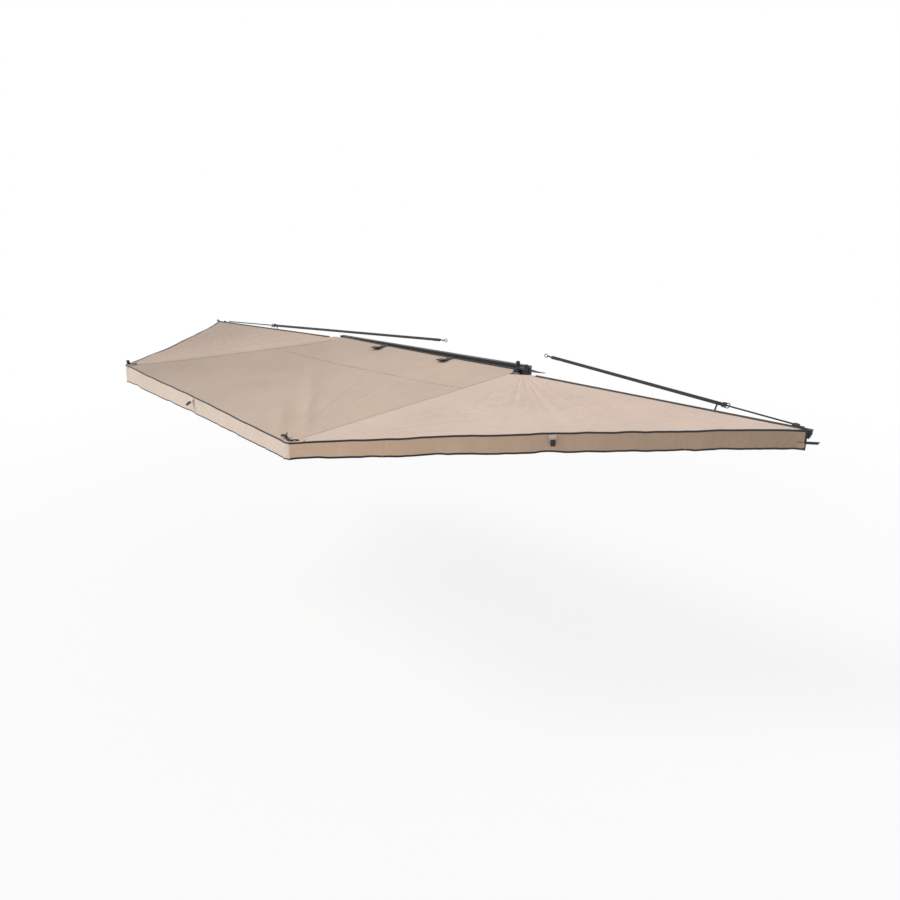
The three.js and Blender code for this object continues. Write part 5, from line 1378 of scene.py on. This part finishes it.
tail_ring = ring_of("tail_ring", ring_centre, TOWARDS_D, ring_rise, 0.0080, 0.0018, STEEL_FINISH)
fastened("corner_c_right_tail", [right_tail, tail_ring], "c")
foot = on_arm("b", (1.838, -0.006, 0.0030))[0] - FORWARD_OUT * 0.014
post = np.array([foot + FORWARD_OUT * s * 0.007 + UP * s * 0.038 for s in np.linspace(0, 1, 8)])
loop = [ribbon("post", post + FORWARD_IN * shift, FORWARD_OUT, 0.025, 0.0020, BLACK_TAPE)
        for shift in (0.0012, -0.0012)]
steps = [UP * -0.001, FORWARD_OUT * -0.036 + UP * 0.001, FORWARD_OUT * -0.080 + UP * 0.003]
fastened("corner_b_loop", loop + [tail("strip", "b", (1.838, -0.006, 0.0085), steps, 0.014, 0.8)], "b")
tip_steps = [(0, 0, 0), (0.014, 0, 0.003), (0.030, 0, 0.015)]
lump_steps = [(0.014, 0, 0), (0, 0, 0.014), (-0.016, 0, 0)]
tip = tail("tip", "a", (1.828, 0.0, 0.0060), tip_steps, 0.020, 0.3)
lump = tail("lump", "a", (1.722, -0.004, 0.0050), lump_steps, 0.018, 0.3)
fastened("corner_a_tail", [tip, lump], "a")
print("corner tails on arms a, b and c")

# %% [markdown]
# The rear corner carries more: a moulded cover over the cap, a dark sleeve on the arm beside it, a strip of
# webbing under the hook where the rear strap starts, and a stiff tab that carries the skirt's line on. The
# sleeve is an open channel swept along the arm, because the leg stowed below it has to swing out.

# %% The rear corner
SLEEVE_HALF, SLEEVE_LOW, SLEEVE_HIGH, SLEEVE_WALL, SLEEVE_ROOF = 0.0166, -0.0215, 0.0014, 0.0012, 0.0010
inner, under = SLEEVE_HALF - SLEEVE_WALL, SLEEVE_HIGH - SLEEVE_ROOF
SLEEVE = [(-SLEEVE_HALF, SLEEVE_LOW), (-SLEEVE_HALF, SLEEVE_HIGH), (SLEEVE_HALF, SLEEVE_HIGH),
          (SLEEVE_HALF, SLEEVE_LOW), (inner, SLEEVE_LOW), (inner, under), (-inner, under),
          (-inner, SLEEVE_LOW)]

def arm_sleeve(name, key, start, end):
    run = on_arm(key, [(x, 0, 0) for x in np.linspace(start, end, 4)])
    return sweep(name, run, *arm_directions(key)[1:], SLEEVE, KNOB_FINISH, 30)

cover_outline = mirrored([(1.957, 0.0175), (2.021, 0.0175), (2.0265, 0.012)])
cover = slab("cap_cover", cover_outline, 0.0006, 0.0060, KNOB_FINISH, onto("d"), 0.0014)
sleeve = arm_sleeve("arm_sleeve", "d", 1.923, 1.971)
pad_run = on_arm("d", [(x, 0.0060, 0.0110) for x in np.linspace(1.905, 1.975, 9)])
pad = ribbon("strap_pad", pad_run, arm_directions("d")[1], 0.020, 0.0040, BLACK_TAPE)
strap_start, ring, run, across, up = strap_line("d")
hook_place = framed(strap_start - run * 0.006 + UP * 0.001, run, UP + np.array((0, 0.9, 0)))
hook_outline = mirrored([(-0.010, 0.006), (0.0, 0.0095), (0.018, 0.0095), (0.030, 0.0055)])
hook = slab("strap_hook", hook_outline, -0.0040, 0.0040, PLASTIC_FINISH, hook_place, 0.0016)
fastened("rear_corner_cover", [cover, sleeve, pad, hook], "d")
tab_row = REAR_SKIRT[int(0.60 * (len(REAR_SKIRT) - 1))]
tab_out = outward_of(REAR_SKIRT[0])[-1]
tab_outline = [(-0.003, -0.0085), (0.066, -0.0085), (0.076, 0.0085), (-0.003, 0.0085)]
tab_place = framed(tab_row[-1], unit(tab_row[-1] - tab_row[-12]), tab_out)
tab = slab("stiff_tab", tab_outline, -0.0014, 0.0014, KNOB_FINISH, tab_place, 0.0006)
fold_with(tab, "d")
lead = ribbon("tab_lead", tab_row[-5:-1] + tab_out * 0.0018, UP, 0.0035, 0.0008, THREAD)
fold_with(lead, "d")
print("stiff tab from", tab_row[-1].round(3))

# %% [markdown]
# ## Fasteners
# Each bracket is clamped to the rail's slot by a hexagon bolt with a washer and a nut plate, and each rail
# cap is held by two screws. All of them are turned shapes, so one helper draws a profile round an axis, as
# a lathe or the Spin tool would, and six sides make a hexagon head.

# %% Bolts and screws
BRACKET_XS, SLOT_FACE_Y, SLOT_Z, CAP_SCREW_INSET = (-0.700, 0.0, 0.700), 0.0399, 0.036, 0.014
WASHER = [(0.0050, 0.0001), (0.0080, 0.0001), (0.0080, 0.0014), (0.0078, 0.0017), (0.0050, 0.0017)]
BOLT_HEAD = [(0.0075, 0.0018), (0.0075, 0.0064), (0.0066, 0.0071), (0.0020, 0.0071)]
BOLT_SHANK = [(0.0038, -0.0140), (0.0038, 0.0018)]
CAP_SCREW = [(0.0038, 0.0), (0.0040, 0.0010), (0.0034, 0.0022), (0.0018, 0.0024), (0.0016, 0.0008)]
NUT_PLATE = mirrored([(-0.011, 0.0066), (0.011, 0.0066)])

def turned(name, profile, place, sides):
    """A profile of (radius, height) pairs drawn round the z axis."""
    turns = (np.arange(sides) + 0.5) / sides * 2 * math.pi
    rings = [place([(r * math.cos(t), r * math.sin(t), z) for t in turns]) for r, z in profile]
    return loft(name, rings, STEEL_FINISH, 40)

fasteners = []
for x in BRACKET_XS:
    outside = framed((x, SLOT_FACE_Y, SLOT_Z), (1, 0, 0), (0, -1, 0))
    fasteners += [turned("washer", WASHER, outside, 28), turned("head", BOLT_HEAD, outside, 6),
                  turned("shank", BOLT_SHANK, outside, 14),
                  slab("nut_plate", NUT_PLATE, -0.0135, -0.0090, STEEL_FINISH, outside, 0.0006)]
for node_name, side in (("rail_cap_front", 1), ("rail_cap_rear", -1)):
    low, high = (np.array(corner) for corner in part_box(node_name))
    face = high[0] if side > 0 else low[0]
    for z in (low[2] + CAP_SCREW_INSET, high[2] - CAP_SCREW_INSET):
        place = framed((face + side * 0.0001, (low[1] + high[1]) / 2, z), (0, side, 0), (side, 0, 0))
        fasteners.append(turned("cap_screw", CAP_SCREW, place, 16))
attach(joined("bracket_bolts_and_screws", fasteners), "backbone")
print("fasteners", len(fasteners))

# %% [markdown]
# ## Stow bag
# The bag that wraps the folded awning hangs empty under the rail: two layers of vinyl that sag between its
# loops. It could be simulated, but it hangs nearly flat, so a few slow waves say enough. It is one closed
# sheet, led along the rail ring by ring, each ring down the front and up the back.

# %% Stow bag
BAG_REAR, BAG_FRONT, BAG_DROP, BAG_MIDDLE_Y, RING_POINTS = -0.988, 0.968, 0.1400, 0.0595, 13

def bag_ring(x):
    wave = 0.0016 * math.sin(x * 9.0) + 0.0010 * math.sin(x * 23.0 + 1)
    hang = 0.0030 * math.sin(x * 5.2 + 0.6) + 0.0012 * math.sin(x * 31.0)
    ends = min(1.0, (0.970 - abs(x + 0.010)) / 0.012 + 0.35)
    front, back = [], []
    for v in np.linspace(0, 1, RING_POINTS):
        fullness = ends * (0.0016 + 0.0026 * math.sin(math.pi * min(1, v * 1.05)) ** 0.6)
        middle = BAG_MIDDLE_Y + wave * v + 0.0007 * math.sin(x * 47 + v * 9)
        z = 0.0046 - (BAG_DROP + hang * v) * v
        front.append((x, middle + fullness, z))
        back.append((x, middle - fullness, z))
    return front + back[::-1]

bag = loft("stow_bag_cloth", [bag_ring(x) for x in np.linspace(BAG_REAR, BAG_FRONT, 196)], VINYL_FINISH, 70)
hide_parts("stow_bag")
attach(bag, "backbone")
print("stow bag from", bag_ring(BAG_REAR)[0], "to", bag_ring(BAG_FRONT)[RING_POINTS - 1])

# %% [markdown]
# The bag's trim lies on its front face: a zip tape with its coil near the top edge, a slider at the front
# end, and five webbing loops. Each follows the same rule as the bag, a millimetre or two in front of it.

# %% Bag trim
LOOP_XS, SLIDER_X, ZIP_POINT = (-0.84, -0.42, 0.0, 0.42, 0.84), 0.90, 2
SLIDER = mirrored([(0, 0.004), (0.012, 0.005), (0.016, 0.002)])
zip_line = np.array([bag_ring(x)[ZIP_POINT] for x in np.linspace(-0.960, 0.940, 120)])
trim = [ribbon("zip_tape", zip_line + (0, 0.0012, 0), UP, 0.020, 0.0010, WEBBING),
        rod("zip_coil", zip_line + (0, 0.0024, 0), 0.0016, PLASTIC_FINISH, 8)]
for x in LOOP_XS:
    front = np.array(bag_ring(x))[1:RING_POINTS] + (0, 0.0018, 0)
    trim.append(ribbon("bag_loop", front, (1, 0, 0), 0.025, 0.0016, WEBBING))
slider_place = framed(np.array(bag_ring(SLIDER_X)[ZIP_POINT]) + (0, 0.0034, -0.001), (-1, 0, 0), (0, 1, 0))
trim.append(slab("zip_slider", SLIDER, 0.0, 0.003, STEEL_FINISH, slider_place, 0.0008))
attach(joined("stow_bag_trim", trim), "backbone")
print("bag trim in", len(trim), "pieces")

# %% [markdown]
# ## Beside the rear hub
# Where the canopy parts from the rail to let the rear arms swing, a gusset of black vinyl closes the notch
# under the hub, and a sleeve covers the root of arm C. A thin dark strip that narrows back along the side
# from the hub is a painted shadow. The gusset is drawn in arm C's frame, and the stiff sleeve rides on its
# arm.

# %% Gusset, sleeve and painted shadow strip
GUSSET = [(0.062, 0.0170), (0.108, 0.0170), (0.108, 0.075), (0.080, 0.075), (0.062, 0.045)]
gusset = slab("hub_gusset", GUSSET, 0.0006, 0.0016, VINYL_FINISH, onto("c"), 0.0003)
fold_with(gusset, "c")
fastened("arm_root_sleeve", [arm_sleeve("root_sleeve", "c", 0.058, 0.124)], "c")
# A dark strip that narrows from 30 to 6 mm behind the hub stands in for a shadow: painted shadow.
shadow_strip_run = [(-1.062, 0.070, 0.052), (-1.090, 0.070, 0.049), (-1.135, 0.066, 0.047), (-1.185, 0.060, 0.048)]
shadow_strip_run, shadow_strip_widths = trimmed(np.array(shadow_strip_run), count=14), np.linspace(0.030, 0.006, 14)
SHADOW_STRIP_RING = ((-1, 0), (-1, 0.0025), (1, 0.0025), (1, 0))
rings = [[place + np.array((0, a * width, b)) for a, b in SHADOW_STRIP_RING]
         for place, width in zip(shadow_strip_run, shadow_strip_widths)]
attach(loft("painted_shadow_strip", rings, WEBBING, 40), "backbone")
print("gusset over", round(GUSSET[1][0] - GUSSET[0][0], 3), "m of arm c")
